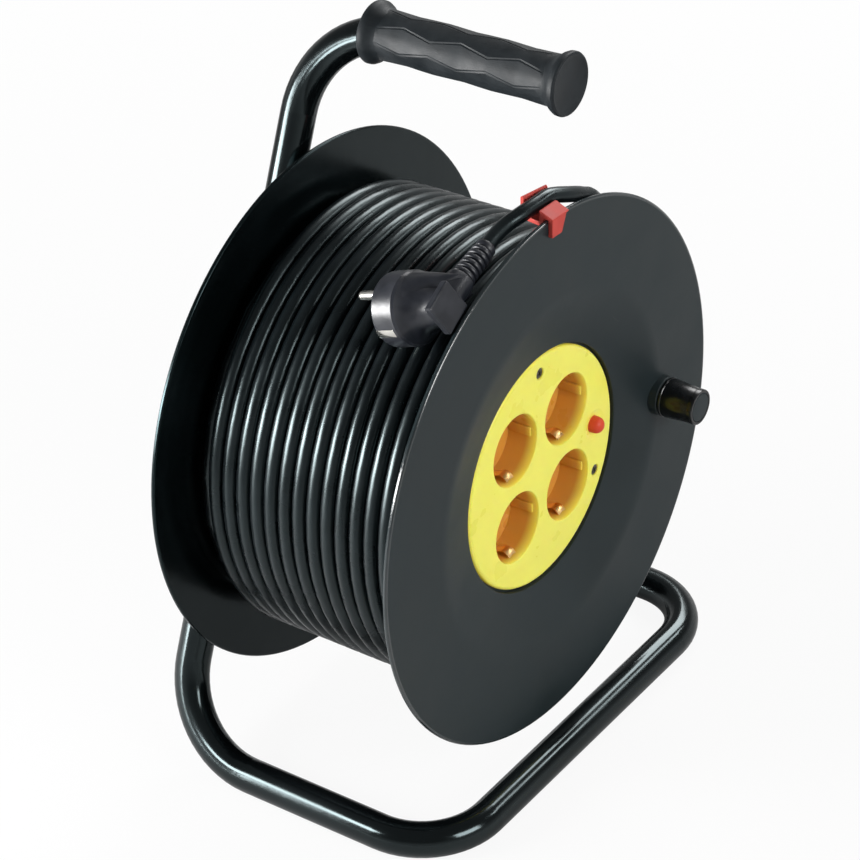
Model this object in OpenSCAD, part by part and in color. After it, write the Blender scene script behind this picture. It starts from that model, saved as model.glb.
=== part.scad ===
// Extension cord reel: a two-flange drum with four earthed sockets in its front,
// wound with cord and turning on an axle that a bent tube stand carries at the back.
// Lengths are millimetres. +X is right, -Y is the socket side and +Z is up.
// The origin lies on the floor, straight below the middle of the drum.

/* [Stand] */
// Outer diameter of the stand's tube
tube_d = 19; // [17:0.5:20]
// Wall of the stand's tube
tube_wall = 1.5; // [1:0.1:2.5]
// Distance between the side bars of the base, centre to centre
base_span = 260; // [240:1:290]
// Free height between the floor and the drum's rim
floor_gap = 19.5; // [15:0.5:40]
// Height of the handle's centre line above the drum's rim
handle_gap = 58.5; // [54:0.5:80]
// Sideways shift of the handle from the axle
handle_shift = 30; // [15:1:40]
// Gap between the drum and the tubes in front of it and behind it
side_gap = 5; // [4:0.5:12]
// Length of the handle's tube, measured from the post
handle_len = 150; // [140:0.5:160]
// How far the base's free end stops short of the post
free_end_gap = 12.5; // [10:0.5:40]
// Bend radius at the front corners of the base
corner_r = 40; // [30:1:50]
// Bend radius at the foot and the head of the post
post_r = 50; // [40:1:52]

/* [Grip] */
// Length of the grip
grip_len = 118; // [106:1:122]
// Diameter of the grip between its lips
grip_d = 26.6; // [25:0.2:30]
// Diameter of the lips at the grip's ends
grip_lip_d = 33; // [32:0.5:38]
// Width of a lip
grip_lip_w = 6.5; // [4:0.5:10]
// Thickness of the grip's closed front end
grip_end_wall = 4; // [2:0.5:6]

/* [Drum] */
// Diameter of the flanges
flange_d = 295; // [285:1:310]
// Width of the drum over its flanges
drum_w = 146; // [144:1:152]
// Wall of the flanges
flange_wall = 2.5; // [2:0.1:3]
// Inner diameter of the flat outer ring of a flange
flat_d = 196; // [180:1:220]
// Diameter at the bottom of a flange's shallow dish
dish_d = 136; // [135:1:140]
// Depth of the dish
dish_depth = 7.5; // [6:0.5:10]
// Diameter of the barrel
barrel_d = 165; // [164:1:172]
// Wall of the barrel
barrel_wall = 3; // [2:0.1:4]
// Thickness of the web that carries the hub
web_t = 4; // [3:0.5:6]

/* [Axle] */
// Diameter of the axle in the bush
axle_d = 14; // [12:0.5:15]
// Diameter of the bush's outside
bush_d = 22; // [20:0.5:23]
// Diameter of the hub tube
hub_d = 32; // [30:0.5:34]
// Diameter of the axle's rear stud
rear_stud_d = 12; // [8:0.5:12]
// Diameter of the axle's front stud
front_stud_d = 10; // [8:0.5:11]
// Thickness of the bracket on the post
bracket_t = 4; // [3:0.5:6]
// Thickness of the washers
washer_t = 2; // [1.5:0.1:3]
// Thickness of the nuts
nut_t = 8; // [6:0.5:8]

/* [Socket plate] */
// Diameter of the socket plate
plate_d = 132; // [131:0.5:133]
// Thickness of the socket plate
plate_t = 3; // [2.5:0.1:4]
// Distance of each socket from the plate's centre, across and up
socket_off = 23.4; // [22.5:0.1:23.8]
// Diameter of a socket's recess
recess_d = 39; // [38:0.1:39.4]
// Depth of a socket's recess
recess_depth = 17.5; // [16:0.5:19]
// Distance between a socket's pin holes
pin_gap = 19; // [18:0.1:19.6]
// Diameter of a pin hole
pin_hole_d = 5.2; // [5:0.1:5.6]
// Diameter of the reset button
button_d = 8.4; // [7:0.1:9]
// Travel of the reset button
button_travel = 1.5; // [1:0.1:2]

/* [Crank knob] */
// Distance of the knob from the axle
knob_off = 102.5; // [101:0.5:125]
// Diameter of the knob at its foot
knob_d = 22; // [20:0.5:22.5]
// Diameter of the knob where it meets its end lip
knob_tip_d = 19.2; // [18:0.1:20]
// Length of the knob over the flange
knob_len = 25; // [23:0.5:32]
// Diameter of the knob's pin
knob_pin_d = 6; // [5:0.5:7]

/* [Cord] */
// Outside diameter of the cord
cord_d = 8.3; // [8:0.1:8.3]
// Distance between neighbouring turns
cord_pitch = 8.8; // [8.75:0.01:8.85]
// Turns in the outermost layer
cord_turns = 14; // [10:1:14]
// Radius of the outermost layer, to the middle of the cord
wind_r = 118.2; // [110:0.1:119]

/* [Hidden] */
$fn = 96;

// Clearance between fixed pieces that slide over each other, on the radius
fit = 0.1;
// Running clearance of the bush on the axle and the knob on its pin, on the radius
run_fit = 0.05;
// Gap kept between pieces that move past each other
gap = 0.3;
// Length that a cutting body runs past the face it cuts
over = 1;

// Stand: everything is set out from the drum, which hangs between front bar and post
axle_h = flange_d / 2 + floor_gap;
base_z = tube_d / 2;
frame_y = drum_w / 2 + side_gap + tube_d / 2;
handle_z = axle_h + flange_d / 2 + handle_gap;
handle_end = [handle_shift, frame_y - handle_len, handle_z];
post_head = [handle_shift, frame_y, handle_z];
post_foot = [-base_span / 2, frame_y, base_z];
front_left = [-base_span / 2, -frame_y, base_z];
front_right = [base_span / 2, -frame_y, base_z];
free_end = [base_span / 2, frame_y - free_end_gap, base_z];
frame_route = [handle_end, post_head, post_foot, front_left, front_right, free_end];
frame_bends = [0, post_r, post_r, corner_r, corner_r, 0];
cap_t = 2;
cap_plug_len = 12;

// Drum: depths count forward from the middle of the drum, which is symmetric
face_z = drum_w / 2;
flange_r = flange_d / 2;
rim_round = 0.8;
dish_z = face_z - dish_depth;
plate_sink = 0.5;
plate_z = dish_z - plate_sink;
pocket_z = plate_z - plate_t;
pocket_r = dish_d / 2 - 0.5;
land_z = pocket_z - flange_wall;
cone_slope = dish_depth / (flat_d / 2 - pocket_r);
barrel_r = barrel_d / 2;
barrel_in_r = barrel_r - barrel_wall;
cone_z = face_z - flange_wall - (flat_d / 2 - barrel_r) * cone_slope;
spigot_len = 4.5;
spigot_wall = 2.5;
ledge_r = 55;
groove_r = 70;
groove_z = pocket_z + 1.5;
web_z = -8;
hub_front_z = 4;
hub_stub = 0.9;
hub_rear_z = dish_z + hub_stub;

// Screws that hold the flanges to the barrel's columns
flange_screw_off = 62;
flange_screw_angles = [45, 135, 225, 315];
column_r = 5;
screw_d = 3.5;
screw_len = 14;
screw_head_r = 3.6;
screw_head_t = 2;
rib_t = 2.5;

// Axle and its bearing
bush_in_r = axle_d / 2 + run_fit;
bush_lip_r = hub_d / 2 - 1;
bush_lip_t = 1.8;
shoulder_z = hub_rear_z + bush_lip_t + gap;
shoulder_r = 11;
bracket_front = frame_y - bracket_t / 2;
bracket_back = frame_y + bracket_t / 2;
stud_past_nut = 1;
bracket_boss_r = 17;
bracket_reach = 28;
washer_r = 14;
rear_nut_r = 10.4;
front_nut_r = 9.8;
front_washer_z = hub_front_z + gap;

// Socket plate
plate_r = plate_d / 2;
plate_round = 2;
recess_r = recess_d / 2;
cup_wall = 1.5;
cup_r = recess_r + cup_wall;
cup_floor_t = 3;
recess_z = plate_z - recess_depth;
cup_back_z = recess_z - cup_floor_t;
guide_flat = 17.7;
guide_half_h = 9;
guide_below = 4;
sockets = [for (sx = [-1, 1], sy = [-1, 1]) [sx * socket_off, sy * socket_off]];
plate_screw_off = 57;
plate_screw_angles = [90, 330];
plate_head_t = 1.5;
lug_len = 12;
button_x = 49.5;
button_proud = 3.5;
cover_wall = 1.5;
cover_depth = 22.5;
cover_back_z = cup_back_z - cover_depth;
cover_rib_at = 12;
cover_rib_t = 2;
notch_clear = 1;
boss_r = 5;

// Contacts behind the plate
strip_w = 6;
strip_t = 1.5;
strip_z = cover_back_z + cover_wall + 2.5;
sleeve_r = 4;
sleeve_gap = 0.3;
bridge_y = 29;
earth_w = 8;
earth_t = 1;
earth_ring_w = 4;
tongue_inset = 1.8;
tongue_at = recess_r - tongue_inset;
tongue_below = 7;
tongue_z = plate_z - tongue_below;
tongue_slot = 0.3;

// Thermal cut-out behind the reset button
cutout_left = 42.5;
cutout_right = 57.5;
cutout_half_h = 8;
cutout_back_z = cup_back_z + 0.5;
cutout_top_z = land_z - gap;
cutout_roof = 1.2;
neck_wall = 0.8;
button_rim = 1;
button_lip_t = 1;
button_lip_r = button_d / 2 + 0.7;
button_lip_z = cutout_top_z - cutout_roof;
spring_wire = 0.6;
spring_turns = 3;
spring_steps = 8;
spring_r = button_d / 2 - 1;
// The spring closes up solid just below the end of the button's travel
button_bore_z = button_lip_z - button_lip_t - button_travel
                - (spring_turns + 1) * spring_wire - gap;

// Crank knob
knob_angle = -3.9;
knob_at = [knob_off * cos(knob_angle), knob_off * sin(knob_angle)];
knob_boss_h = 4;
knob_boss_root = 2;
knob_end_z = face_z + knob_len;
knob_lip_w = 3;
knob_lip = 0.3;
knob_cap_r = 8;
knob_cap_t = 2.2;
pin_head_r = 4.5;
pin_head_t = 1.5;
pin_below_cap = 1;
pin_top_z = knob_end_z - knob_cap_t - pin_below_cap;

// Clip on the rim, a little to the right of the top; its arm turns with the cord
clip_turn = -2;
clip_left = -7;
clip_right = 7.5;
clip_t = 2.6;
clip_tongue_w = 8.5;
clip_tongue_len = 9;
clip_jaw_len = 7;
clip_top = 4;
clip_nose = 0.9;
clip_bevel = 1;
clip_taper = 2;
clip_slot_w = 3;
arm_turn = 9;
arm_shift = 2.7;
arm_w = 17.6;
arm_reach = 12;
arm_t = 2.4;
arm_seat = 2.6;
arm_hook = 7.6;
arm_root = 1.5;
arm_bevel = 1;

// Cord clamp on the web, where the cord's inner end comes through the barrel
clamp_angle = 200;
clamp_from = 64;
clamp_to = 78;
clamp_half_w = 11;
clamp_cap_t = 6;
clamp_screw_off = 7.5;
clamp_screw_d = 3;
clamp_screw_len = 20;
clamp_head_r = 3;
cord_in_z = 8;
cord_in_end = 60;
clamp_top_z = cord_in_z + gap + clamp_cap_t;
lead_d = 3;
neutral_lead_y = -12;
switched_lead_y = 4;

// Cord: the turns run round the drum's axis from the rear flange to the front one
turn_steps = 24;
winding_sides = 6;
tail_sides = 10;
lead_sides = 8;
// The outermost layer starts one turn short of the rear flange
wind_half = (cord_turns + 1) * cord_pitch / 2;
wind_end_angle = 38;
core_r = (wind_r - cord_d / 2) * cos(180 / turn_steps) - gap;
core_in_r = barrel_r + gap;
// The tail's route, measured from the middle of the drum in X, Y and Z
tail_points = [[68, -66, 108], [50, -66, 134], [39, -66, 141.5], [27, -65.5, 147], [15, -63, 150],
               [5, -62, 151], [-6, -60.5, 150], [-16, -58, 148]];
// The plug lies on the turns: the end of its strain relief and its turn
relief_end = [-32.5, -57.5, 143.5];
plug_turn = [-21.9, -15.6, 2.5];
relief_len = 24;
relief_r = 5.2;
relief_ring_r = 6.3;
relief_rings = 6;
relief_ring_w = 2.2;
relief_ring_pitch = 3.5;
relief_first_ring = 0.6;
relief_taper = 0.15;
plug_arm_len = 20;
plug_arm_y = 9;
plug_arm_r = 7.5;
plug_len = 38;
plug_r = 18.5;
plug_round_len = 15;
plug_waist_y = 3;
plug_waist_r = 8;
plug_shoulder_r = 14;
plug_pin_len = 19;
plug_pin_d = 4.8;
plug_pin_root = 8;
plug_plate = [16, 4.5, 17];
plug_plate_at = [-3, 1.5];
// Side strips that meet the earth tongues of a socket, and the hollows they lie in
plug_strip = [1, 11.6, 4.6];
plug_hollow = [1.5, 12, 5];

function unit(v) = v / norm(v);
function corner(p, i) = acos(unit(p[i - 1] - p[i]) * unit(p[i + 1] - p[i]));
function cut_back(p, r, i) = r[i] == 0 ? 0 : r[i] / tan(corner(p, i) / 2);

// Square to stretch i, towards the side that the tube bends to at its end
function inward(p, i) =
    let (dir = unit(p[i + 1] - p[i]), next = unit(p[i + 2] - p[i + 1]))
    unit(next - dir * (dir * next));

// Puts a drawing into the frame with the axes ex, ey and ez at the point c
module placed(ex, ey, ez, c)
    multmatrix([[ex.x, ey.x, ez.x, c.x],
                [ex.y, ey.y, ez.y, c.y],
                [ex.z, ey.z, ez.z, c.z],
                [0, 0, 0, 1]])
        children();

module tube_section(d, wall) {
    difference() {
        circle(d = d);
        if (wall > 0) circle(d = d - 2 * wall);
    }
}

// A tube along the corner points p, bent there to the radii r
module bent_tube(p, r, d, wall = 0) {
    dir = unit(p[1] - p[0]);
    first = inward(p, 0);
    placed(first, cross(dir, first), dir, p[0])
        tube_from(0, first, p, r, d, wall);
}

// The stretch after corner i and all that follows it; Z runs along the stretch, across
// is where the local X points and seam turns the section, so that it stays unturned
// through every bend
module tube_from(i, across, p, r, d, wall, seam = 0) {
    dir = unit(p[i + 1] - p[i]);
    length = norm(p[i + 1] - p[i]) - cut_back(p, r, i) - cut_back(p, r, i + 1);
    last = i == len(p) - 2;
    next = last ? across : inward(p, i);
    turn = last ? 0 : 180 - corner(p, i + 1);
    bend = r[i + 1];
    angle = atan2(cross(across, next) * dir, across * next);
    rotate(angle) {
        linear_extrude(length)
            rotate(seam - angle)
                tube_section(d, wall);
        if (!last)
            translate([bend, 0, length]) {
                rotate([90, 0, 180])
                    rotate_extrude(angle = turn)
                        translate([bend, 0])
                            rotate(180 - seam + angle)
                                tube_section(d, wall);
                rotate([0, turn, 0])
                    translate([-bend, 0, 0])
                        tube_from(i + 1, cos(turn) * next - sin(turn) * dir, p, r, d, wall,
                                  seam - angle);
            }
    }
}

// Drum pieces are drawn face on: X right, Y up, Z forward out of the sockets
module face_on()
    translate([0, 0, axle_h])
        rotate([90, 0, 0])
            children();

// Cord pieces are drawn with the stand's own axes, from the middle of the drum
module from_axle()
    translate([0, 0, axle_h])
        children();

module polar(distance, angles)
    for (a = angles)
        rotate(a)
            translate([distance, 0])
                children();

module disc(r, from, to)
    translate([0, 0, from])
        cylinder(r = r, h = to - from);

// ---------------------------------------------------------------- stand

module frame_tube()
    color([0.06, 0.06, 0.065])
        bent_tube(frame_route, frame_bends, tube_d, tube_wall);

module tube_end_cap()
    color([0.1, 0.1, 0.1])
        translate(free_end)
            rotate([-90, 0, 0]) {
                disc(tube_d / 2, 0, cap_t);
                disc(tube_d / 2 - tube_wall - fit, -cap_plug_len, 0);
            }

// Rubber grip, closed in front, with a lip at each end
module grip()
    color([0.13, 0.13, 0.14])
        difference() {
            translate([handle_shift, handle_end.y - grip_end_wall, handle_z])
                rotate([-90, 0, 0]) {
                    disc(grip_d / 2, 0, grip_len);
                    disc(grip_lip_d / 2, 0, grip_lip_w);
                    disc(grip_lip_d / 2, grip_len - grip_lip_w, grip_len);
                }
            bent_tube(frame_route, frame_bends, tube_d + 2 * run_fit);
        }

// Plate welded to the post, which passes the axle at one side
module axle_bracket() {
    post = unit([post_foot.x - post_head.x, post_foot.z - post_head.z]);
    head = [post_head.x, post_head.z - axle_h];
    near = head - post * (head * post);
    color([0.06, 0.06, 0.065])
        difference() {
            face_on()
                translate([0, 0, -bracket_back])
                    linear_extrude(bracket_t) {
                        circle(bracket_boss_r);
                        polygon([near + bracket_reach * post, bracket_boss_r * post,
                                 -bracket_boss_r * post, near - bracket_reach * post]);
                    }
            bent_tube(frame_route, frame_bends, tube_d);
            face_on()
                disc(rear_stud_d / 2 + run_fit, -bracket_back - over, over - bracket_front);
        }
}

// ---------------------------------------------------------------- axle

axle_end_z = -bracket_back - washer_t - nut_t - stud_past_nut;

module axle()
    color([0.62, 0.63, 0.65])
        face_on() {
            disc(rear_stud_d / 2, axle_end_z, -bracket_front);
            disc(shoulder_r, -bracket_front, -shoulder_z);
            disc(axle_d / 2, -shoulder_z, front_washer_z);
            disc(front_stud_d / 2, front_washer_z, front_washer_z + washer_t + nut_t + stud_past_nut);
        }

module washer(hole_d, from)
    color([0.7, 0.71, 0.72])
        face_on()
            difference() {
                disc(washer_r, from, from + washer_t);
                disc(hole_d / 2 + run_fit, from - over, from + washer_t + over);
            }

module nut(r, hole_d, from)
    color([0.7, 0.71, 0.72])
        face_on()
            difference() {
                translate([0, 0, from])
                    cylinder(r = r, h = nut_t, $fn = 6);
                disc(hole_d / 2 + run_fit, from - over, from + nut_t + over);
            }

module rear_washer() washer(rear_stud_d, -bracket_back - washer_t);
module rear_nut() nut(rear_nut_r, rear_stud_d, -bracket_back - washer_t - nut_t);
module front_washer() washer(front_stud_d, front_washer_z);
module front_nut() nut(front_nut_r, front_stud_d, front_washer_z + washer_t);

// ---------------------------------------------------------------- drum

// Half section of a flange from the barrel outwards: radius and depth
rim_half = [[flat_d / 2, face_z],
            [flange_r - rim_round, face_z],
            [flange_r, face_z - rim_round],
            [flange_r, face_z - flange_wall + rim_round],
            [flange_r - rim_round, face_z - flange_wall],
            [flat_d / 2, face_z - flange_wall],
            [barrel_r, cone_z],
            [barrel_r, land_z],
            [barrel_in_r - fit, land_z],
            [barrel_in_r - fit, land_z - spigot_len],
            [barrel_in_r - fit - spigot_wall, land_z - spigot_len]];

module countersink(grow)
    translate([0, 0, pocket_z - screw_head_t])
        cylinder(r1 = screw_d / 2 + grow, r2 = screw_head_r + grow, h = screw_head_t);

// Front flange: flat ring, shallow dish and a pocket that the socket plate sits in
module front_flange()
    color([0.17, 0.18, 0.19])
        face_on()
            difference() {
                union() {
                    rotate_extrude()
                        polygon(concat([[ledge_r, pocket_z], [pocket_r, pocket_z],
                                        [pocket_r, dish_z]],
                                       rim_half,
                                       [[barrel_in_r - fit - spigot_wall, groove_z],
                                        [groove_r, groove_z],
                                        [groove_r, land_z], [ledge_r, land_z]]));
                    polar(plate_screw_off, plate_screw_angles)
                        disc(column_r, pocket_z - lug_len, pocket_z);
                    translate(knob_at)
                        disc(knob_d / 2, face_z - knob_boss_root, face_z + knob_boss_h);
                }
                polar(plate_screw_off, plate_screw_angles)
                    disc(screw_d / 2 + run_fit, pocket_z - lug_len - over, pocket_z + over);
                polar(flange_screw_off, flange_screw_angles) {
                    disc(screw_d / 2 + run_fit, land_z - over, pocket_z + over);
                    countersink(run_fit);
                    disc(screw_head_r + run_fit, pocket_z, pocket_z + over);
                }
                translate(knob_at) {
                    disc(knob_pin_d / 2 + run_fit, 0, knob_end_z);
                    disc(pin_head_r + run_fit, face_z - flange_wall - over,
                         face_z - flange_wall + pin_head_t);
                }
            }

// Rear flange: the same dish with a closed floor round the hub
module rear_flange()
    color([0.09, 0.09, 0.1])
        face_on()
            mirror([0, 0, 1])
                difference() {
                    union() {
                        rotate_extrude()
                            polygon(concat([[hub_d / 2 + 2 * fit, dish_z], [pocket_r, dish_z]],
                                           rim_half,
                                           [[barrel_in_r - fit - spigot_wall,
                                             dish_z - flange_wall],
                                            [hub_d / 2 + 2 * fit, dish_z - flange_wall]]));
                        polar(flange_screw_off, flange_screw_angles)
                            disc(column_r, land_z, dish_z - flange_wall / 2);
                    }
                    polar(flange_screw_off, flange_screw_angles)
                        disc(screw_d / 2 + run_fit, land_z - over, dish_z + over);
                }

// Barrel with its web, hub tube, screw columns and the lower half of the cord clamp
module drum_barrel()
    color([0.1, 0.1, 0.11])
        face_on()
            difference() {
                union() {
                    difference() {
                        disc(barrel_r, -land_z, land_z);
                        disc(barrel_in_r, -land_z - over, land_z + over);
                    }
                    disc(barrel_in_r + barrel_wall / 2, web_z - web_t, web_z);
                    disc(hub_d / 2, -hub_rear_z, hub_front_z);
                    polar(flange_screw_off, flange_screw_angles)
                        disc(column_r, -land_z, land_z);
                    polar(flange_screw_off, flange_screw_angles)
                        translate([0, -rib_t / 2, -land_z + spigot_len + over])
                            cube([barrel_in_r - flange_screw_off + barrel_wall / 2, rib_t,
                                  2 * (land_z - spigot_len - over)]);
                    rotate(clamp_angle)
                        translate([clamp_from, -clamp_half_w, web_z - web_t / 2])
                            cube([clamp_to - clamp_from, 2 * clamp_half_w,
                                  cord_in_z - web_z + web_t / 2]);
                }
                disc(bush_d / 2 + run_fit, -hub_rear_z - over, hub_front_z + over);
                polar(flange_screw_off, flange_screw_angles) {
                    disc(screw_d / 2 + run_fit, land_z - screw_len - over, land_z + over);
                    disc(screw_d / 2 + run_fit, -land_z - over, -land_z + screw_len + over);
                }
                rotate(clamp_angle)
                    translate([clamp_from - over, 0, cord_in_z])
                        rotate([0, 90, 0])
                            cylinder(r = cord_d / 2 + run_fit, h = barrel_r - clamp_from + 2 * over);
                clamp_screw_places()
                    disc(clamp_screw_d / 2 + run_fit, clamp_top_z - clamp_screw_len - over,
                         cord_in_z + over);
            }

module front_flange_screws()
    color([0.7, 0.71, 0.72])
        face_on()
            polar(flange_screw_off, flange_screw_angles)
                union() {
                    disc(screw_d / 2, pocket_z - screw_len, pocket_z - screw_head_t);
                    countersink(0);
                }

module rear_flange_screws()
    color([0.7, 0.71, 0.72])
        face_on()
            polar(flange_screw_off, flange_screw_angles)
                union() {
                    disc(screw_d / 2, -dish_z, -dish_z + screw_len);
                    disc(screw_head_r, -dish_z - screw_head_t, -dish_z);
                }

// Plain bearing pressed into the hub, with a lip that runs against the axle's shoulder
module hub_bush()
    color([0.85, 0.85, 0.82])
        face_on()
            difference() {
                union() {
                    disc(bush_d / 2, -hub_rear_z, hub_front_z);
                    disc(bush_lip_r, -hub_rear_z - bush_lip_t, -hub_rear_z);
                }
                disc(bush_in_r, -hub_rear_z - bush_lip_t - over, hub_front_z + over);
            }

// ---------------------------------------------------------------- sockets

// Yellow plate with four socket cups, moulded in one piece
module socket_plate()
    color([0.91, 0.89, 0.38])
        face_on()
            difference() {
                union() {
                    rotate_extrude()
                        union() {
                            square_from([0, pocket_z], [plate_r - plate_round, plate_z]);
                            square_from([0, pocket_z], [plate_r, plate_z - plate_round]);
                            intersection() {
                                translate([plate_r - plate_round, plate_z - plate_round])
                                    circle(plate_round);
                                square_from([0, plate_z - plate_round], [plate_r, plate_z]);
                            }
                        }
                    for (s = sockets)
                        translate(s)
                            disc(cup_r, cup_back_z, pocket_z + plate_t / 2);
                    disc(boss_r, cover_back_z + cover_wall, pocket_z + plate_t / 2);
                }
                for (s = sockets)
                    translate(s)
                        socket_hollow();
                polar(plate_screw_off, plate_screw_angles) {
                    disc(screw_d / 2 + fit, pocket_z - over, plate_z + over);
                    disc(screw_head_r + fit, plate_z - plate_head_t, plate_z + over);
                }
                translate([button_x, 0])
                    disc(button_d / 2 + 2 * fit, pocket_z - over, plate_z + over);
                disc(screw_d / 2 + run_fit, cover_back_z, cover_back_z + screw_len + over);
            }

module square_from(a, b)
    translate(a)
        square(b - a);

// Recess with flat guides at its sides, two pin holes and two slots for the earth tongues
module socket_hollow() {
    difference() {
        disc(recess_r, recess_z, plate_z + over);
        for (s = [-1, 1])
            translate([s * (guide_flat + recess_r / 2), 0, recess_z - over +
                       (recess_depth - guide_below + over) / 2])
                cube([recess_r, 2 * guide_half_h, recess_depth - guide_below + over],
                     center = true);
    }
    for (s = [-1, 1])
        translate([s * pin_gap / 2, 0])
            disc(pin_hole_d / 2, cup_back_z - over, recess_z + over);
    for (s = [-1, 1])
        translate([0, s * (tongue_at + earth_t / 2), (cup_back_z + recess_z) / 2])
            cube([earth_w + 2 * tongue_slot, earth_t + 2 * tongue_slot,
                  cup_floor_t + 2 * over], center = true);
}

module plate_screws()
    color([0.35, 0.3, 0.25])
        face_on()
            polar(plate_screw_off, plate_screw_angles)
                union() {
                    disc(screw_d / 2, pocket_z - lug_len + 1, plate_z - plate_head_t);
                    disc(screw_head_r, plate_z - plate_head_t, plate_z);
                }

// Earth strips behind the cups, with a tongue at the top and bottom of each recess
module earth_clips()
    color([0.8, 0.68, 0.35])
        face_on()
            difference() {
                union() {
                    for (sx = [-1, 1]) {
                        translate([sx * socket_off - earth_w / 2,
                                   -socket_off - tongue_at - earth_t, cup_back_z - earth_t])
                            cube([earth_w, 2 * (socket_off + tongue_at + earth_t), earth_t]);
                    }
                    translate([-socket_off, -earth_w / 2, cup_back_z - earth_t])
                        cube([2 * socket_off, earth_w, earth_t]);
                    disc(boss_r + earth_ring_w, cup_back_z - earth_t, cup_back_z);
                    for (s = sockets, e = [-1, 1])
                        translate([s.x - earth_w / 2,
                                   s.y + e * (tongue_at + earth_t / 2) - earth_t / 2,
                                   cup_back_z - earth_t / 2])
                            cube([earth_w, earth_t, tongue_z - cup_back_z + earth_t / 2]);
                }
                disc(boss_r + gap, cup_back_z - earth_t - over, cup_back_z + over);
            }

// Busbar for one pole: a strip with two sleeves under each column, and a bridge
module busbar(xs, up) {
    color([0.8, 0.68, 0.35])
        face_on()
            difference() {
                union() {
                    for (x = xs) {
                        translate([x - strip_w / 2, -socket_off - sleeve_r, strip_z])
                            cube([strip_w, 2 * (socket_off + sleeve_r), strip_t]);
                        for (y = [-socket_off, socket_off])
                            translate([x, y])
                                disc(sleeve_r, strip_z, cup_back_z - sleeve_gap);
                        translate([x - strip_w / 2, up > 0 ? 0 : -bridge_y - strip_w, strip_z])
                            cube([strip_w, bridge_y + strip_w, strip_t]);
                    }
                    translate([min(xs) - strip_w / 2, up > 0 ? bridge_y : -bridge_y - strip_w,
                               strip_z])
                        cube([max(xs) - min(xs) + strip_w, strip_w, strip_t]);
                }
                for (x = xs, y = [-socket_off, socket_off])
                    translate([x, y])
                        disc(pin_hole_d / 2, strip_z - over, cup_back_z);
            }
}

module live_busbar()
    busbar([-socket_off + pin_gap / 2, socket_off + pin_gap / 2], 1);

module neutral_busbar()
    busbar([-socket_off - pin_gap / 2, socket_off - pin_gap / 2], -1);

// Cover over the contacts, open towards the cups, with notches for the leads
module socket_cover()
    color([0.2, 0.2, 0.21])
        face_on()
            difference() {
                union() {
                    difference() {
                        rounded_block(cup_r, cover_back_z, cup_back_z);
                        rounded_block(cup_r - cover_wall, cover_back_z + cover_wall,
                                      cup_back_z + over);
                    }
                    for (s = [-1, 1])
                        translate([-socket_off - cup_r / 2, s * cover_rib_at - cover_rib_t / 2,
                                   cover_back_z + cover_wall / 2])
                            cube([2 * socket_off + cup_r, cover_rib_t,
                                  strip_z - cover_back_z - cover_wall / 2]);
                }
                disc(screw_d / 2 + fit, cover_back_z - over, cover_back_z + cover_wall + over);
                lead_notch(-socket_off - cup_r, neutral_lead_y, bar_lead_z);
                lead_notch(-socket_off - cup_r, 0, earth_lead_z);
                lead_notch(socket_off + cup_r, switched_lead_y, bar_lead_z);
            }

// A square block with corners of the radius r round the socket centres
module rounded_block(r, from, to) {
    for (s = sockets)
        translate(s)
            disc(r, from, to);
    translate([-socket_off - r, -socket_off, from])
        cube([2 * (socket_off + r), 2 * socket_off, to - from]);
    translate([-socket_off, -socket_off - r, from])
        cube([2 * socket_off, 2 * (socket_off + r), to - from]);
}

module lead_notch(x, y, z)
    translate([x, y, z])
        cube([4 * cover_wall, lead_d + 2 * notch_clear, lead_d + 2 * notch_clear],
             center = true);

module cover_screw()
    color([0.7, 0.71, 0.72])
        face_on() {
            disc(screw_d / 2, cover_back_z, cover_back_z + screw_len);
            disc(screw_head_r, cover_back_z - screw_head_t, cover_back_z);
        }

// Overload cut-out: its neck reaches the plate and guides the reset button
module thermal_cutout()
    color([0.12, 0.12, 0.13])
        face_on()
            difference() {
                union() {
                    translate([cutout_left, -cutout_half_h, cutout_back_z])
                        cube([cutout_right - cutout_left, 2 * cutout_half_h,
                              cutout_top_z - cutout_back_z]);
                    translate([button_x, 0])
                        disc(button_d / 2 + 2 * fit + neck_wall, cutout_top_z - over, pocket_z);
                }
                translate([button_x, 0]) {
                    disc(button_d / 2 + 2 * fit, button_bore_z, pocket_z + over);
                    disc(button_lip_r + 2 * fit, button_bore_z, button_lip_z + run_fit);
                }
            }

// Reset button with a domed top; its lip keeps it in the cut-out
module reset_button() {
    dome_h = button_proud - button_rim;
    dome_r = (pow(button_d / 2, 2) + pow(dome_h, 2)) / (2 * dome_h);
    color([0.85, 0.16, 0.1])
        face_on()
            translate([button_x, 0]) {
                disc(button_lip_r, button_lip_z - button_lip_t, button_lip_z);
                disc(button_d / 2, button_lip_z - button_lip_t, plate_z + button_rim);
                translate([0, 0, plate_z + button_rim])
                    intersection() {
                        translate([0, 0, dome_h - dome_r])
                            sphere(dome_r);
                        disc(button_d / 2, 0, button_proud);
                    }
            }
}

// Spring under the button, standing on the bottom of the cut-out's bore
module button_spring() {
    low = button_bore_z + spring_wire / 2;
    high = button_lip_z - button_lip_t - spring_wire / 2;
    steps = spring_turns * spring_steps;
    route = [for (i = [0 : steps])
             [spring_r * cos(360 * i / spring_steps), spring_r * sin(360 * i / spring_steps),
              low + (high - low) * i / steps]];
    color([0.75, 0.76, 0.78])
        face_on()
            translate([button_x, 0])
                cord_tube(route, spring_wire, winding_sides, [0, 0, 1]);
}

// ---------------------------------------------------------------- crank knob and clip

module knob_pin()
    color([0.7, 0.71, 0.72])
        face_on()
            translate(knob_at) {
                disc(pin_head_r, face_z - flange_wall, face_z - flange_wall + pin_head_t);
                disc(knob_pin_d / 2, face_z - flange_wall, pin_top_z);
                disc(pin_head_r, pin_top_z - pin_head_t, pin_top_z);
            }

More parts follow.
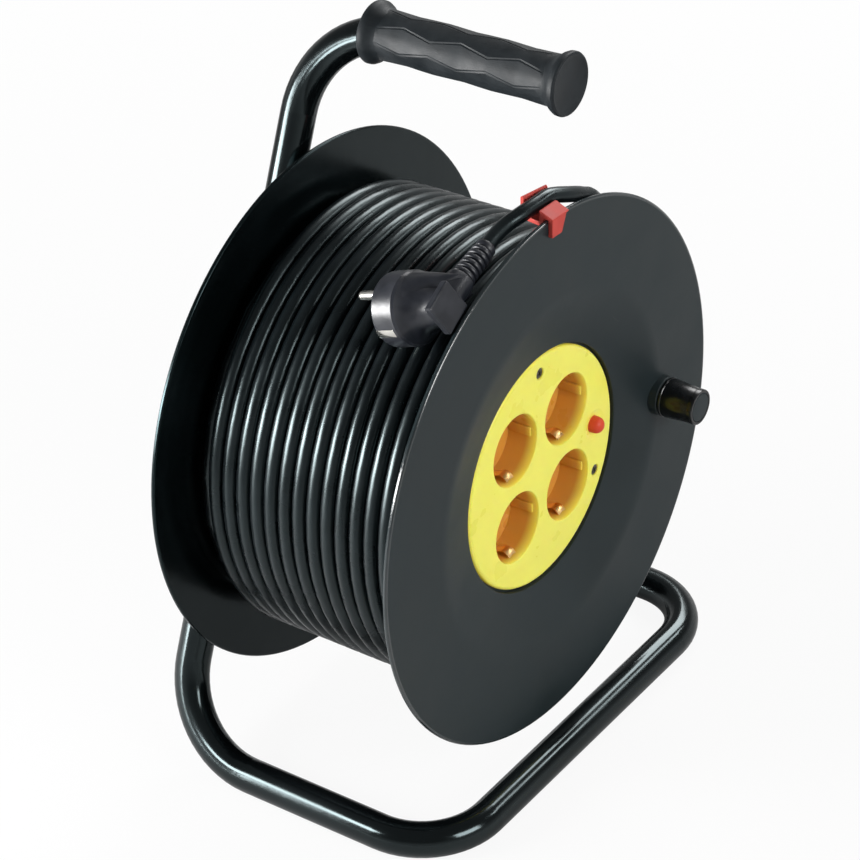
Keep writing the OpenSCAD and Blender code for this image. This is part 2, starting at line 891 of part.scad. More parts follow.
module crank_knob()
    color([0.08, 0.08, 0.085])
        face_on()
            translate(knob_at)
                difference() {
                    union() {
                        translate([0, 0, face_z + knob_boss_h + gap])
                            cylinder(r1 = knob_d / 2, r2 = knob_tip_d / 2,
                                     h = knob_len - knob_boss_h - gap);
                        disc(knob_tip_d / 2 + knob_lip, knob_end_z - knob_lip_w, knob_end_z);
                    }
                    disc(knob_pin_d / 2 + run_fit, face_z, knob_end_z);
                    disc(pin_head_r + gap, pin_top_z - pin_head_t - gap, knob_end_z);
                    disc(knob_cap_r, knob_end_z - knob_cap_t, knob_end_z + over);
                }

module knob_cap()
    color([0.3, 0.31, 0.32])
        face_on()
            translate(knob_at)
                disc(knob_cap_r - run_fit, knob_end_z - knob_cap_t, knob_end_z);

// Clip: a block that grips the rim between a tongue in front and a jaw behind, and an
// arm whose hook holds the cord's tail against the block
module cord_clip() {
    front = face_z + run_fit;
    back = face_z - flange_wall - run_fit;
    slot = flange_r + run_fit;
    color([0.85, 0.16, 0.1])
        face_on()
            rotate(clip_turn) {
                translate([0, 0, front])
                    linear_extrude(clip_t)
                        polygon([[clip_left, flange_r - clip_tongue_len],
                                 [clip_left + clip_tongue_w, flange_r - clip_tongue_len],
                                 [clip_right - clip_taper, slot], [clip_left, slot]]);
                along_rim(clip_left, clip_right)
                    polygon([[slot, front + clip_t], [slot, back],
                             [flange_r - clip_jaw_len, back],
                             [flange_r - clip_jaw_len, back - clip_slot_w],
                             [flange_r + clip_top, back - clip_slot_w],
                             [flange_r + clip_top, back - clip_slot_w + clip_bevel],
                             [flange_r + clip_nose, front + clip_t]]);
                translate([arm_shift, 0, face_z - clip_slot_w])
                    rotate([0, -arm_turn, 0])
                        along_rim(-arm_w / 2, arm_w / 2)
                            polygon([[flange_r - arm_seat, -arm_root],
                                     [flange_r - arm_seat, -arm_reach],
                                     [flange_r + arm_hook - arm_bevel, -arm_reach],
                                     [flange_r + arm_hook, -arm_reach - arm_bevel],
                                     [flange_r + arm_hook - arm_bevel, -arm_reach - arm_t],
                                     [flange_r - arm_seat - arm_t, -arm_reach - arm_t],
                                     [flange_r - arm_seat - arm_t, -arm_root]]);
            }
}

// A bar along the rim, from and to in X, with its section drawn in height and depth
module along_rim(from, to)
    translate([from, 0])
        rotate([90, 0, 90])
            linear_extrude(to - from)
                children();

// ---------------------------------------------------------------- cord

// Points of the outermost layer; t counts turns from the rear flange
function turn_point(t) =
    let (a = wind_end_angle - 360 * (cord_turns - t))
    [wind_r * cos(a), wind_half - cord_pitch * (t + 1), wind_r * sin(a)];
function turn_dir(t) =
    let (a = wind_end_angle - 360 * (cord_turns - t))
    unit([-wind_r * sin(a), -cord_pitch / (2 * PI), wind_r * cos(a)]);

wind_start = turn_point(0) - cord_d * turn_dir(0);
wind_stop = turn_point(cord_turns) + cord_d * turn_dir(cord_turns);
wind_route = concat([wind_start],
                    [for (i = [0 : cord_turns * turn_steps]) turn_point(i / turn_steps)],
                    [wind_stop]);
plug_dir = [cos(plug_turn.y) * cos(plug_turn.z), cos(plug_turn.y) * sin(plug_turn.z),
            -sin(plug_turn.y)];
tail_route = concat([wind_stop, wind_stop + cord_d * turn_dir(cord_turns)], tail_points,
                    [relief_end + cord_d * plug_dir, relief_end]);

function heading(p, i) =
    i == 0 ? unit(p[1] - p[0]) :
    i == len(p) - 1 ? unit(p[i] - p[i - 1]) :
    unit(unit(p[i + 1] - p[i]) + unit(p[i] - p[i - 1]));
function ring_points(p, i, d, sides, up) =
    let (h = heading(p, i), a = unit(cross(h, up)), b = cross(h, a))
    [for (k = [0 : sides - 1]) p[i] + d / 2 * (cos(360 * k / sides) * a + sin(360 * k / sides) * b)];

// A round tube through the points p; no stretch of it runs along up
module cord_tube(p, d, sides, up) {
    last = (len(p) - 1) * sides;
    polyhedron(
        points = [for (i = [0 : len(p) - 1]) each ring_points(p, i, d, sides, up)],
        faces = concat(
            [for (i = [0 : len(p) - 2], k = [0 : sides - 1])
                [i * sides + k, (i + 1) * sides + k, i * sides + (k + 1) % sides]],
            [for (i = [0 : len(p) - 2], k = [0 : sides - 1])
                [i * sides + (k + 1) % sides, (i + 1) * sides + k,
                 (i + 1) * sides + (k + 1) % sides]],
            [for (k = [1 : sides - 2]) [0, k, k + 1]],
            [for (k = [1 : sides - 2]) [last, last + k + 1, last + k]]));
}

wind_rings = [for (i = [0 : len(wind_route) - 1])
              ring_points(wind_route, i, cord_d, winding_sides, [0, 1, 0])];
least_gap = min([for (i = [0 : len(wind_route) - 1 - turn_steps], a = wind_rings[i],
                      b = wind_rings[i + turn_steps]) norm(a - b)]);
echo(str("least gap between the turns of the winding: ", least_gap, " mm"));

// The cord's outermost layer, one unbroken tube
module cord_winding()
    color([0.05, 0.05, 0.055])
        from_axle()
            cord_tube(wind_route, cord_d, winding_sides, [0, 1, 0]);

// The inner layers of cord, with the end that climbs to the outermost one
module cord_core() {
    outward = unit(cross([0, 1, 0], turn_dir(0)));
    color([0.04, 0.04, 0.045]) {
        face_on()
            rotate_extrude()
                polygon([[core_in_r, -cone_z + gap], [core_in_r, cone_z - gap],
                         [flat_d / 2, face_z - flange_wall - gap],
                         [core_r, face_z - flange_wall - gap],
                         [core_r, -face_z + flange_wall + gap],
                         [flat_d / 2, -face_z + flange_wall + gap]]);
        from_axle()
            placed(outward, cross(turn_dir(0), outward), turn_dir(0),
                   wind_start - cord_d * turn_dir(0)) {
                cylinder(d = cord_d, h = cord_d);
                translate([-cord_d, -cord_d / 4, 0])
                    cube([cord_d, cord_d / 2, cord_d]);
            }
    }
}

module cord_lead_in()
    color([0.05, 0.05, 0.055])
        face_on()
            rotate(clamp_angle)
                translate([cord_in_end, 0, cord_in_z])
                    rotate([0, 90, 0])
                        cylinder(d = cord_d, h = core_in_r - cord_in_end - gap);

// The free end, from the last turn over the clip to the plug
module cord_tail()
    color([0.05, 0.05, 0.055])
        from_axle()
            cord_tube(tail_route, cord_d, tail_sides, [0, 1, 0]);

module clamp_screw_places()
    rotate(clamp_angle)
        for (s = [-1, 1])
            translate([(clamp_from + clamp_to) / 2, s * clamp_screw_off])
                children();

module cord_clamp()
    color([0.2, 0.2, 0.21])
        face_on()
            difference() {
                rotate(clamp_angle)
                    translate([clamp_from, -clamp_half_w, cord_in_z + gap])
                        cube([clamp_to - clamp_from, 2 * clamp_half_w, clamp_cap_t]);
                rotate(clamp_angle)
                    translate([clamp_from - over, 0, cord_in_z])
                        rotate([0, 90, 0])
                            cylinder(r = cord_d / 2 + run_fit,
                                     h = clamp_to - clamp_from + 2 * over);
                clamp_screw_places()
                    disc(clamp_screw_d / 2 + run_fit, cord_in_z, clamp_top_z + over);
            }

module clamp_screws()
    color([0.7, 0.71, 0.72])
        face_on()
            clamp_screw_places()
                union() {
                    disc(clamp_screw_d / 2, clamp_top_z - clamp_screw_len, clamp_top_z);
                    disc(clamp_head_r, clamp_top_z, clamp_top_z + screw_head_t);
                }

// An insulated wire along the points p
module lead(p)
    cord_tube(p, lead_d, lead_sides, [0, 1, 0]);

// The cord's three wires start side by side in its end, bend outside the contacts' cover
// and run on to their strips; the live one goes under the cover to the cut-out
lead_in_cord = 2;
lead_end = [(cord_in_end - lead_in_cord) * cos(clamp_angle),
            (cord_in_end - lead_in_cord) * sin(clamp_angle), cord_in_z];
lead_spread = 2;
earth_lead_off = 2.6;
cover_edge = socket_off + cup_r;
lead_bend = 4;
lead_under_cover = 7;
live_lead_y = -28;
live_tab = [button_x + 1.5, -4];
switched_lead_x = button_x + 1.5;
bar_lead_z = strip_z + strip_t + lead_d / 2 + run_fit;
earth_lead_z = cup_back_z - earth_t - lead_d / 2 - run_fit;

module live_lead()
    color([0.45, 0.28, 0.18])
        face_on()
            lead([lead_end + [0, -lead_spread / 2, -lead_spread],
                  [-cover_edge - lead_bend, live_lead_y, cover_back_z - lead_under_cover],
                  [cover_edge, live_lead_y, cover_back_z - lead_under_cover],
                  [live_tab.x, live_tab.y, cover_back_z + lead_bend / 2],
                  [live_tab.x, live_tab.y, cutout_back_z]]);

module switched_lead()
    color([0.45, 0.28, 0.18])
        face_on()
            lead([[switched_lead_x, switched_lead_y, cutout_back_z],
                  [switched_lead_x, switched_lead_y, bar_lead_z],
                  [socket_off + pin_gap / 2, switched_lead_y, bar_lead_z]]);

module neutral_lead()
    color([0.15, 0.35, 0.75])
        face_on()
            lead([lead_end + [0, -lead_spread / 2, lead_spread],
                  [-cover_edge - 1.5 * lead_bend, neutral_lead_y - lead_spread,
                   cover_back_z - lead_d],
                  [-cover_edge - lead_bend, neutral_lead_y, bar_lead_z],
                  [-socket_off - pin_gap / 2, neutral_lead_y, bar_lead_z]]);

module earth_lead()
    color([0.35, 0.65, 0.2])
        face_on()
            lead([lead_end + [0, earth_lead_off, 0],
                  [-cover_edge - 2 * lead_bend, -lead_bend, cover_back_z],
                  [-cover_edge - 1.5 * lead_bend, 0, earth_lead_z],
                  [-socket_off, 0, earth_lead_z]]);

// ---------------------------------------------------------------- plug

// The plug is drawn with its cord leaving along +X and its pins along +Y
module on_plug()
    from_axle()
        translate(relief_end)
            rotate(plug_turn)
                translate([-plug_arm_len - relief_len, -plug_arm_y, 0])
                    children();

module along_pins(r, from, to)
    translate([0, from, 0])
        rotate([-90, 0, 0])
            cylinder(r = r, h = to - from);

module along_cord(r, from, to)
    translate([from, plug_arm_y, 0])
        rotate([0, 90, 0])
            cylinder(r = r, h = to - from);

module plug_body()
    color([0.07, 0.07, 0.075])
        on_plug()
            difference() {
                union() {
                    along_pins(plug_r, plug_len - plug_round_len, plug_len);
                    translate([0, plug_waist_y, 0])
                        rotate([-90, 0, 0])
                            cylinder(r1 = plug_waist_r, r2 = plug_shoulder_r,
                                     h = plug_len - plug_round_len - plug_waist_y);
                    translate([plug_plate_at.x, plug_plate.y / 2, plug_plate_at.y])
                        cube(plug_plate, center = true);
                    along_cord(plug_arm_r, 0, plug_arm_len);
                }
                for (s = [-1, 1]) {
                    translate([0, 0, s * pin_gap / 2])
                        along_pins(plug_pin_d / 2 + run_fit, plug_len - plug_pin_root,
                                   plug_len + over);
                    translate([s * plug_r, plug_len, 0])
                        cube([2 * plug_hollow.x, 2 * plug_hollow.y, plug_hollow.z],
                             center = true);
                }
            }

module plug_pins()
    color([0.75, 0.75, 0.74])
        on_plug()
            for (s = [-1, 1])
                translate([0, 0, s * pin_gap / 2]) {
                    along_pins(plug_pin_d / 2, plug_len - plug_pin_root,
                               plug_len + plug_pin_len - plug_pin_d / 2);
                    translate([0, plug_len + plug_pin_len - plug_pin_d / 2, 0])
                        sphere(d = plug_pin_d, $fn = 32);
                }

module plug_earth_contacts()
    color([0.8, 0.68, 0.35])
        on_plug()
            for (s = [-1, 1])
                translate([s * (plug_r - plug_hollow.x + plug_strip.x / 2 + run_fit),
                           plug_len - plug_hollow.y / 2, 0])
                    cube(plug_strip, center = true);

// Ribbed sleeve that keeps the cord from kinking at the plug
module plug_strain_relief()
    color([0.05, 0.05, 0.055])
        on_plug() {
            along_cord(relief_r, plug_arm_len, plug_arm_len + relief_len);
            for (i = [0 : relief_rings - 1]) {
                at = plug_arm_len + relief_first_ring + i * relief_ring_pitch;
                along_cord(relief_ring_r - relief_taper * i, at, at + relief_ring_w);
            }
        }

frame_tube();
tube_end_cap();
grip();
axle_bracket();
axle();
rear_washer();
rear_nut();
front_washer();
front_nut();
front_flange();
rear_flange();
drum_barrel();
front_flange_screws();
rear_flange_screws();
hub_bush();
socket_plate();
plate_screws();
earth_clips();
live_busbar();
neutral_busbar();
socket_cover();
cover_screw();
thermal_cutout();
knob_pin();
cord_clip();
cord_clamp();
clamp_screws();
live_lead();
switched_lead();
neutral_lead();
earth_lead();
cord_core();
cord_winding();
cord_lead_in();
cord_tail();
plug_body();
plug_pins();
plug_earth_contacts();
plug_strain_relief();
crank_knob();
knob_cap();
reset_button();
button_spring();
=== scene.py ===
import math
import bmesh
import bpy
from mathutils import Matrix, Vector


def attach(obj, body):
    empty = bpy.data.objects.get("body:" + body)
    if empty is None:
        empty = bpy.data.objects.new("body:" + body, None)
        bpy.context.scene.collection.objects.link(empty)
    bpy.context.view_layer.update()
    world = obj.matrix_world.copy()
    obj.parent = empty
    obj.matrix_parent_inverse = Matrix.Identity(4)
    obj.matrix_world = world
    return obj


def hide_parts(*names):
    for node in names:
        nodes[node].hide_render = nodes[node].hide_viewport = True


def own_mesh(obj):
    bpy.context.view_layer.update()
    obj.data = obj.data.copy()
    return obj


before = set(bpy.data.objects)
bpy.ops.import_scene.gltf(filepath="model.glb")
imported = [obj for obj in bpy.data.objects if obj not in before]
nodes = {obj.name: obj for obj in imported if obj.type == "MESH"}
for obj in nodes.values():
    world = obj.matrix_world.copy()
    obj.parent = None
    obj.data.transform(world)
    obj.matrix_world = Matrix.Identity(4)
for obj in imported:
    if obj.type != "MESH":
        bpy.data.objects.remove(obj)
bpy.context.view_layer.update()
scene = bpy.context.scene
scene.view_settings.view_transform = "Standard"

# ------------------------------------------------------------------ finishes
# Every finish is made of shader nodes alone. Its colour and roughness vary in soft
# patches, and fine grains lift its surface a little.


def noise(tree, size, detail=3.0, stretch=(1, 1, 1)):
    """Object-space noise whose grains are about that size, in metres."""
    place = tree.nodes.new("ShaderNodeTexCoord")
    scaled = tree.nodes.new("ShaderNodeMapping")
    scaled.inputs["Scale"].default_value = stretch
    grains = tree.nodes.new("ShaderNodeTexNoise")
    grains.inputs["Scale"].default_value = 1 / size
    grains.inputs["Detail"].default_value = detail
    tree.links.new(place.outputs["Object"], scaled.inputs["Vector"])
    tree.links.new(scaled.outputs["Vector"], grains.inputs["Vector"])
    return grains.outputs["Fac"]


def spread(tree, value, low, high, start=0.35, stop=0.65):
    """The value from start to stop, spread from low to high."""
    span = tree.nodes.new("ShaderNodeMapRange")
    ends = (("From Min", start), ("From Max", stop), ("To Min", low), ("To Max", high))
    for key, number in ends:
        span.inputs[key].default_value = number
    tree.links.new(value, span.inputs["Value"])
    return span.outputs["Result"]


def shaded(tree, value, dark, light):
    """A colour between dark and light."""
    mix = tree.nodes.new("ShaderNodeMix")
    mix.data_type = "RGBA"
    mix.inputs["A"].default_value = (*dark, 1)
    mix.inputs["B"].default_value = (*light, 1)
    tree.links.new(value, mix.inputs["Factor"])
    return mix.outputs["Result"]


def surface(name, dark, light, rough, bumps=(), patch=0.03, metal=0.0, gloss=0.5,
            sheen=(1, 1, 1)):
    """A material whose colour and roughness vary in soft patches of the given size.
    Each bump is its grain size and its height, in metres. Sheen tints the reflections."""
    made = bpy.data.materials.new(name)
    made.use_nodes = True
    tree = made.node_tree
    shader = tree.nodes["Principled BSDF"]
    shader.inputs["Metallic"].default_value = metal
    shader.inputs["Specular IOR Level"].default_value = gloss
    shader.inputs["Specular Tint"].default_value = (*sheen, 1)
    soft = noise(tree, patch)
    colour = shaded(tree, spread(tree, soft, 0, 1), dark, light)
    tree.links.new(colour, shader.inputs["Base Color"])
    tree.links.new(spread(tree, soft, *rough), shader.inputs["Roughness"])
    normal = None
    for size, deep in bumps:
        bump = tree.nodes.new("ShaderNodeBump")
        bump.inputs["Distance"].default_value = deep
        tree.links.new(noise(tree, size), bump.inputs["Height"])
        if normal:
            tree.links.new(normal, bump.inputs["Normal"])
        normal = bump.outputs["Normal"]
    if normal:
        tree.links.new(normal, shader.inputs["Normal"])
    return made


def maths(tree, operation, *values):
    """The result of a sum on numbers and on other nodes' outputs."""
    made = tree.nodes.new("ShaderNodeMath")
    made.operation = operation
    for entry, value in zip(made.inputs, values):
        if isinstance(value, bpy.types.NodeSocket):
            tree.links.new(value, entry)
        else:
            entry.default_value = value
    return made.outputs[0]


def length_of(tree, vector):
    """How long the vector is."""
    made = tree.nodes.new("ShaderNodeVectorMath")
    made.operation = "LENGTH"
    tree.links.new(vector, made.inputs[0])
    return made.outputs["Value"]


# ------------------------------------------------------------------ camera
# A long lens, a little above the reel and well to the left of its sockets. The middle
# of the drum lies at the pixel drum_px of a square picture.
axle_z = 0.167
azimuth, elevation, roll = math.radians(53.33), math.radians(32.53), math.radians(-2.62)
distance = 1.6272
picture_px = 860
focal_px = 3106
drum_px = (438.8, 432.3)
towards = Vector((-math.sin(azimuth) * math.cos(elevation),
                  -math.cos(azimuth) * math.cos(elevation), math.sin(elevation)))
level_right = (-towards).cross(Vector((0, 0, 1))).normalized()
level_up = level_right.cross(-towards)
right = math.cos(roll) * level_right + math.sin(roll) * level_up
up = math.cos(roll) * level_up - math.sin(roll) * level_right
eye = (Vector((0, 0, axle_z)) + towards * distance
       - right * (drum_px[0] - picture_px / 2) / focal_px * distance
       + up * (drum_px[1] - picture_px / 2) / focal_px * distance)
lens = bpy.data.cameras.new("camera")
lens.sensor_width = 36
lens.lens = lens.sensor_width * focal_px / picture_px
lens.clip_start = 0.05
camera = bpy.data.objects.new("camera", lens)
camera.matrix_world = (Matrix.Translation(eye)
                       @ Matrix((right, up, towards)).transposed().to_4x4())
scene.collection.objects.link(camera)
scene.camera = camera

# ------------------------------------------------------------------ floor and light
# A pale sheet lies under the reel in a plain white room. It looks whiter with its
# distance from the reel, so that no horizon shows. Three large lamps light the reel, and
# two small ones draw bright lines on its right side and on the bars of its base.
floor_size = 6
floor_grey = 0.50
near_reach, near_white = 0.30, 0.92
far_reach, far_white = 1.20, 1.0
mirrored_white = 0.1
wall_low, wall_high = 0.70, 0.08
wall_dark_from = 0.35
floor_mesh = bpy.data.meshes.new("floor")
bm = bmesh.new()
bmesh.ops.create_grid(bm, x_segments=1, y_segments=1, size=floor_size)
bm.to_mesh(floor_mesh)
bm.free()
floor = bpy.data.objects.new("floor", floor_mesh)
scene.collection.objects.link(floor)
paper = bpy.data.materials.new("floor_paper")
paper.use_nodes = True
tree = paper.node_tree
paper_shader = tree.nodes["Principled BSDF"]
paper_shader.inputs["Base Color"].default_value = (floor_grey, floor_grey, floor_grey, 1)
paper_shader.inputs["Roughness"].default_value = 0.9
paper_shader.inputs["Specular IOR Level"].default_value = 0.1
glow = tree.nodes.new("ShaderNodeEmission")
ray = tree.nodes.new("ShaderNodeLightPath").outputs
reach = length_of(tree, tree.nodes.new("ShaderNodeNewGeometry").outputs["Position"])
glow_share = maths(tree, "MULTIPLY_ADD", ray["Is Camera Ray"],
                   spread(tree, reach, near_white, far_white, near_reach, far_reach),
                   maths(tree, "MULTIPLY", ray["Is Glossy Ray"], mirrored_white))
blend = tree.nodes.new("ShaderNodeMixShader")
for entry, value in zip(blend.inputs, (glow_share, paper_shader.outputs[0], glow.outputs[0])):
    tree.links.new(value, entry)
tree.links.new(blend.outputs[0], tree.nodes["Material Output"].inputs["Surface"])
floor_mesh.materials.append(paper)

room = bpy.data.worlds.new("room")
scene.world = room
room.use_nodes = True
tree = room.node_tree
wall = tree.nodes["Background"]
wall.inputs["Color"].default_value = (1, 1, 1, 1)
direction = tree.nodes.new("ShaderNodeTexCoord")
direction_axes = tree.nodes.new("ShaderNodeSeparateXYZ")
tree.links.new(direction.outputs["Generated"], direction_axes.inputs[0])
ray = tree.nodes.new("ShaderNodeLightPath").outputs
white_share = maths(tree, "MULTIPLY_ADD", ray["Is Glossy Ray"], mirrored_white,
                    maths(tree, "MAXIMUM", ray["Is Camera Ray"], ray["Is Transmission Ray"]))
level = tree.nodes.new("ShaderNodeMix")
level.inputs["B"].default_value = 1.0
tree.links.new(white_share, level.inputs["Factor"])
tree.links.new(spread(tree, direction_axes.outputs["Z"], wall_low, wall_high, 0.0,
                      wall_dark_from), level.inputs["A"])
tree.links.new(level.outputs["Result"], wall.inputs["Strength"])


def softbox(name, place, size, watts, aim=(0, 0, axle_z)):
    """A flat lamp at the place, turned to the drum or to the point it is aimed at."""
    lamp = bpy.data.lights.new(name, "AREA")
    lamp.shape = "RECTANGLE"
    lamp.size, lamp.size_y = size
    lamp.energy = watts
    holder = bpy.data.objects.new(name, lamp)
    holder.location = place
    holder.rotation_euler = (Vector(aim) - Vector(place)).to_track_quat("-Z", "Y").to_euler()
    holder.visible_camera = False
    scene.collection.objects.link(holder)


softbox("left_lamp", (-1.15, 1.15, 0.37), (0.8, 0.6), 44)
softbox("right_lamp", (1.37, 0.2, 1.4), (0.95, 0.75), 25)
softbox("front_lamp", (-0.2, -1.9, 1.1), (1.0, 0.7), 29)
softbox("right_strip", (1.15, -0.88, 1.15), (0.90, 0.15), 5)
softbox("base_lamp", (-0.54, 0.305, 0.33), (0.30, 0.13), 3.6, aim=(-0.13, 0, 0.01))

# ------------------------------------------------------------------ cord
# About 44 m of round flexible cord in a black jacket, wound in five layers. It leaves
# the barrel at the front of its web, and its free end crosses the clip to the plug.
cord_d = 0.0083
pitch = 0.0088
layer_turns = 15
outer_turns = 14
outer_r = 0.1182
layer_rise = 0.0078
layers = 5
first_turns = 6.55
first_y = -0.008
climb = 0.5
climb_steps = 16
inner_steps, outer_steps = 24, 64
half_width = layer_turns * pitch / 2
end_angle = math.radians(38)


def on_drum(radius, y, angle):
    """The place at that distance and angle from the axle, and that depth."""
    return Vector((radius * math.cos(angle), y, axle_z + radius * math.sin(angle)))


def wound_line():
    """Points of every layer from the barrel outwards. The angle only grows, and each
    layer runs back over the one below it. The last one is a turn short at the rear."""
    spans = [(outer_r - (layers - 1) * layer_rise, first_y, -half_width, first_turns,
              inner_steps)]
    spans += [(outer_r - (layers - 1 - k) * layer_rise, half_width * (-1) ** k,
               half_width * (-1) ** (k + 1), layer_turns, inner_steps)
              for k in range(1, layers - 1)]
    spans.append((outer_r, half_width - pitch, -half_width, outer_turns, outer_steps))
    total = sum(s[3] for s in spans) + climb * (layers - 1)
    at = end_angle - 2 * math.pi * total
    line = []
    for k, (radius, y0, y1, turns, steps) in enumerate(spans):
        count = round(turns * steps)
        for i in range(count + 1):
            line.append(on_drum(radius, y0 + (y1 - y0) * i / count,
                                at + 2 * math.pi * turns * i / count))
        at += 2 * math.pi * turns
        if k < layers - 1:
            for i in range(1, climb_steps):
                t = i / climb_steps
                ease = t * t * (3 - 2 * t)
                line.append(on_drum(radius + layer_rise * ease,
                                    y1 + (spans[k + 1][1] - y1) * t,
                                    at + 2 * math.pi * climb * t))
            at += 2 * math.pi * climb
    return line


def smooth_through(points, steps):
    """Points of a smooth curve that passes through all the given ones."""
    line = []
    for i in range(1, len(points) - 2):
        a, b, c, d = points[i - 1:i + 3]
        for k in range(steps):
            t = k / steps
            line.append(0.5 * (2 * b + (c - a) * t + (2 * a - 5 * b + 4 * c - d) * t ** 2
                               + (3 * b - a - 3 * c + d) * t ** 3))
    return line + [points[-2]]


# The free end's route, from the middle of the drum
tail_points = [(0.068, -0.066, 0.108), (0.050, -0.066, 0.134), (0.039, -0.066, 0.1415),
               (0.027, -0.0655, 0.147), (0.015, -0.063, 0.151), (0.005, -0.062, 0.151),
               (-0.006, -0.0605, 0.150), (-0.016, -0.058, 0.148)]
relief_end = Vector((-0.0325, -0.0575, axle_z + 0.1435))
# The plug's turns about X, Y and Z
plug_turn = (math.radians(-21.9), math.radians(-15.6), math.radians(2.5))
plug_rotation = (Matrix.Rotation(plug_turn[2], 3, "Z") @ Matrix.Rotation(plug_turn[1], 3, "Y")
                 @ Matrix.Rotation(plug_turn[0], 3, "X"))
cord_out = plug_rotation @ Vector((1, 0, 0))
wound = wound_line()
leaving = (wound[-1] - wound[-2]).normalized()
tail = ([wound[-2], wound[-1], wound[-1] + cord_d * leaving]
        + [Vector((x, y, axle_z + z)) for x, y, z in tail_points]
        + [relief_end + cord_d * cord_out, relief_end, relief_end - cord_d * cord_out])
cord_line = wound + smooth_through(tail, 8)[1:]

cord_curve = bpy.data.curves.new("cord", "CURVE")
cord_curve.dimensions = "3D"
cord_curve.bevel_depth = cord_d / 2
cord_curve.bevel_resolution = 4
cord_curve.use_fill_caps = True
spline = cord_curve.splines.new("POLY")
spline.points.add(len(cord_line) - 1)
for point, place in zip(spline.points, cord_line):
    point.co = (*place, 1)
spline.use_smooth = True
cord = bpy.data.objects.new("cord", cord_curve)
scene.collection.objects.link(cord)


# The jacket and the paint get a painted cold tint on their reflections of the room
painted_cold_tint = (0.78, 0.97, 1.0)
jacket = surface("cord_jacket", (0.0012, 0.0020, 0.0026), (0.0030, 0.0044, 0.0054),
                 (0.25, 0.33), bumps=[(0.0008, 0.000004)], patch=0.02, gloss=0.42, sheen=painted_cold_tint)
cord_curve.materials.append(jacket)
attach(cord, "drum")
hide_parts("cord_core", "cord_winding", "cord_tail")


def recolour(finish, *names):
    """Gives CAD nodes their finish."""
    for name in names:
        nodes[name].data.materials.clear()
        nodes[name].data.materials.append(finish)


recolour(jacket, "cord_lead_in")

# ------------------------------------------------------------------ plug
# Angled rubber plug, moulded on in one shot: a round front with two pins, a waist, a
# shoulder to the side where the cord leaves and a square plate to push against.
plug_front = 0.038
arm_y = 0.009
arm_end = 0.020
pin_gap = 0.019
pin_d = 0.0048
pin_foot, pin_tip = 0.031, 0.057
shoulder_r, shoulder_at = 0.0178, 0.0238
neck_r, neck_at = 0.0090, 0.016
push_plate = (0.0185, 0.0045, 0.0185)
push_plate_tilt = math.radians(-8)
relief_length = 0.0440
plug_place = (Matrix.Translation(relief_end) @ plug_rotation.to_4x4()
              @ Matrix.Translation((-relief_length, -arm_y, 0)))
along_pins = Matrix.Rotation(math.radians(-90), 4, "X")
along_cord = Matrix.Translation((0, arm_y, 0)) @ Matrix.Rotation(math.radians(90), 4, "Y")


def turned(outline, steps=96):
    """The outline, points of radius and height, turned round Z. It closes on itself, or
    runs from the axis to the axis."""
    made = bmesh.new()
    line = [made.verts.new((radius, 0, height)) for radius, height in outline]
    edges = [made.edges.new(pair) for pair in zip(line, line[1:])]
    if outline[0][0] > 0:
        edges.append(made.edges.new((line[-1], line[0])))
    bmesh.ops.spin(made, geom=line + edges, angle=2 * math.pi, steps=steps, axis=(0, 0, 1),
                   cent=(0, 0, 0), use_merge=True)
    bmesh.ops.remove_doubles(made, verts=made.verts, dist=1e-6)
    bmesh.ops.recalc_face_normals(made, faces=made.faces)
    return made


def softened(made, radius, segments=2, from_angle=30):
    """Rounds every edge that turns by more than the angle."""
    edges = [e for e in made.edges if e.calc_face_angle(0) > math.radians(from_angle)]
    bmesh.ops.bevel(made, geom=edges, offset=radius, offset_type="OFFSET", segments=segments,
                    profile=0.5, affect="EDGES", clamp_overlap=True, material=-1)
    return made


def block(size, centre, radius):
    """A block with rounded edges."""
    made = bmesh.new()
    bmesh.ops.create_cube(made, size=1)
    bmesh.ops.scale(made, vec=size, verts=made.verts)
    bmesh.ops.translate(made, vec=centre, verts=made.verts)
    return softened(made, radius)


def join(made, other, place=Matrix()):
    """Adds the other shape to the first one at that place."""
    bmesh.ops.transform(other, matrix=place, verts=other.verts)
    carrier = bpy.data.meshes.new("carrier")
    other.to_mesh(carrier)
    other.free()
    made.from_mesh(carrier)
    bpy.data.meshes.remove(carrier)
    return made


def piece(name, made, finish, body, replaced=(), place=Matrix(), crease=35):
    """A finished piece that rides on a body and stands for the replaced nodes."""
    bmesh.ops.transform(made, matrix=place, verts=made.verts)
    mesh = bpy.data.meshes.new(name)
    made.to_mesh(mesh)
    made.free()
    mesh.shade_smooth()
    mesh.set_sharp_from_angle(angle=math.radians(crease))
    mesh.materials.append(finish)
    thing = bpy.data.objects.new(name, mesh)
    scene.collection.objects.link(thing)
    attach(thing, body)
    if replaced:
        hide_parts(*replaced)
    return thing


plug_rubber = surface("plug_rubber", (0.0090, 0.0105, 0.0145), (0.0160, 0.0180, 0.0240),
                      (0.28, 0.42), bumps=[(0.003, 0.00003)], patch=0.01, gloss=0.5)
plug = turned([(0, 0.003), (0.0078, 0.003), (0.0084, 0.004), (0.0092, 0.010), (0.0112, 0.016),
               (0.0145, 0.0205), (0.0176, 0.0228), (0.0185, 0.0242), (0.0185, 0.0368),
               (0.0181, 0.0376), (0.0172, plug_front), (0.0150, plug_front), (0.0146, 0.0374),
               (0, 0.0374)])
bmesh.ops.transform(plug, matrix=along_pins, verts=plug.verts)
shoulder = bmesh.new()
bmesh.ops.create_circle(shoulder, radius=shoulder_r, segments=48,
                        matrix=Matrix.Translation((0, 0, shoulder_at)))
bmesh.ops.transform(shoulder, matrix=along_pins, verts=shoulder.verts)
neck = bmesh.ops.create_circle(shoulder, radius=neck_r, segments=4)["verts"]
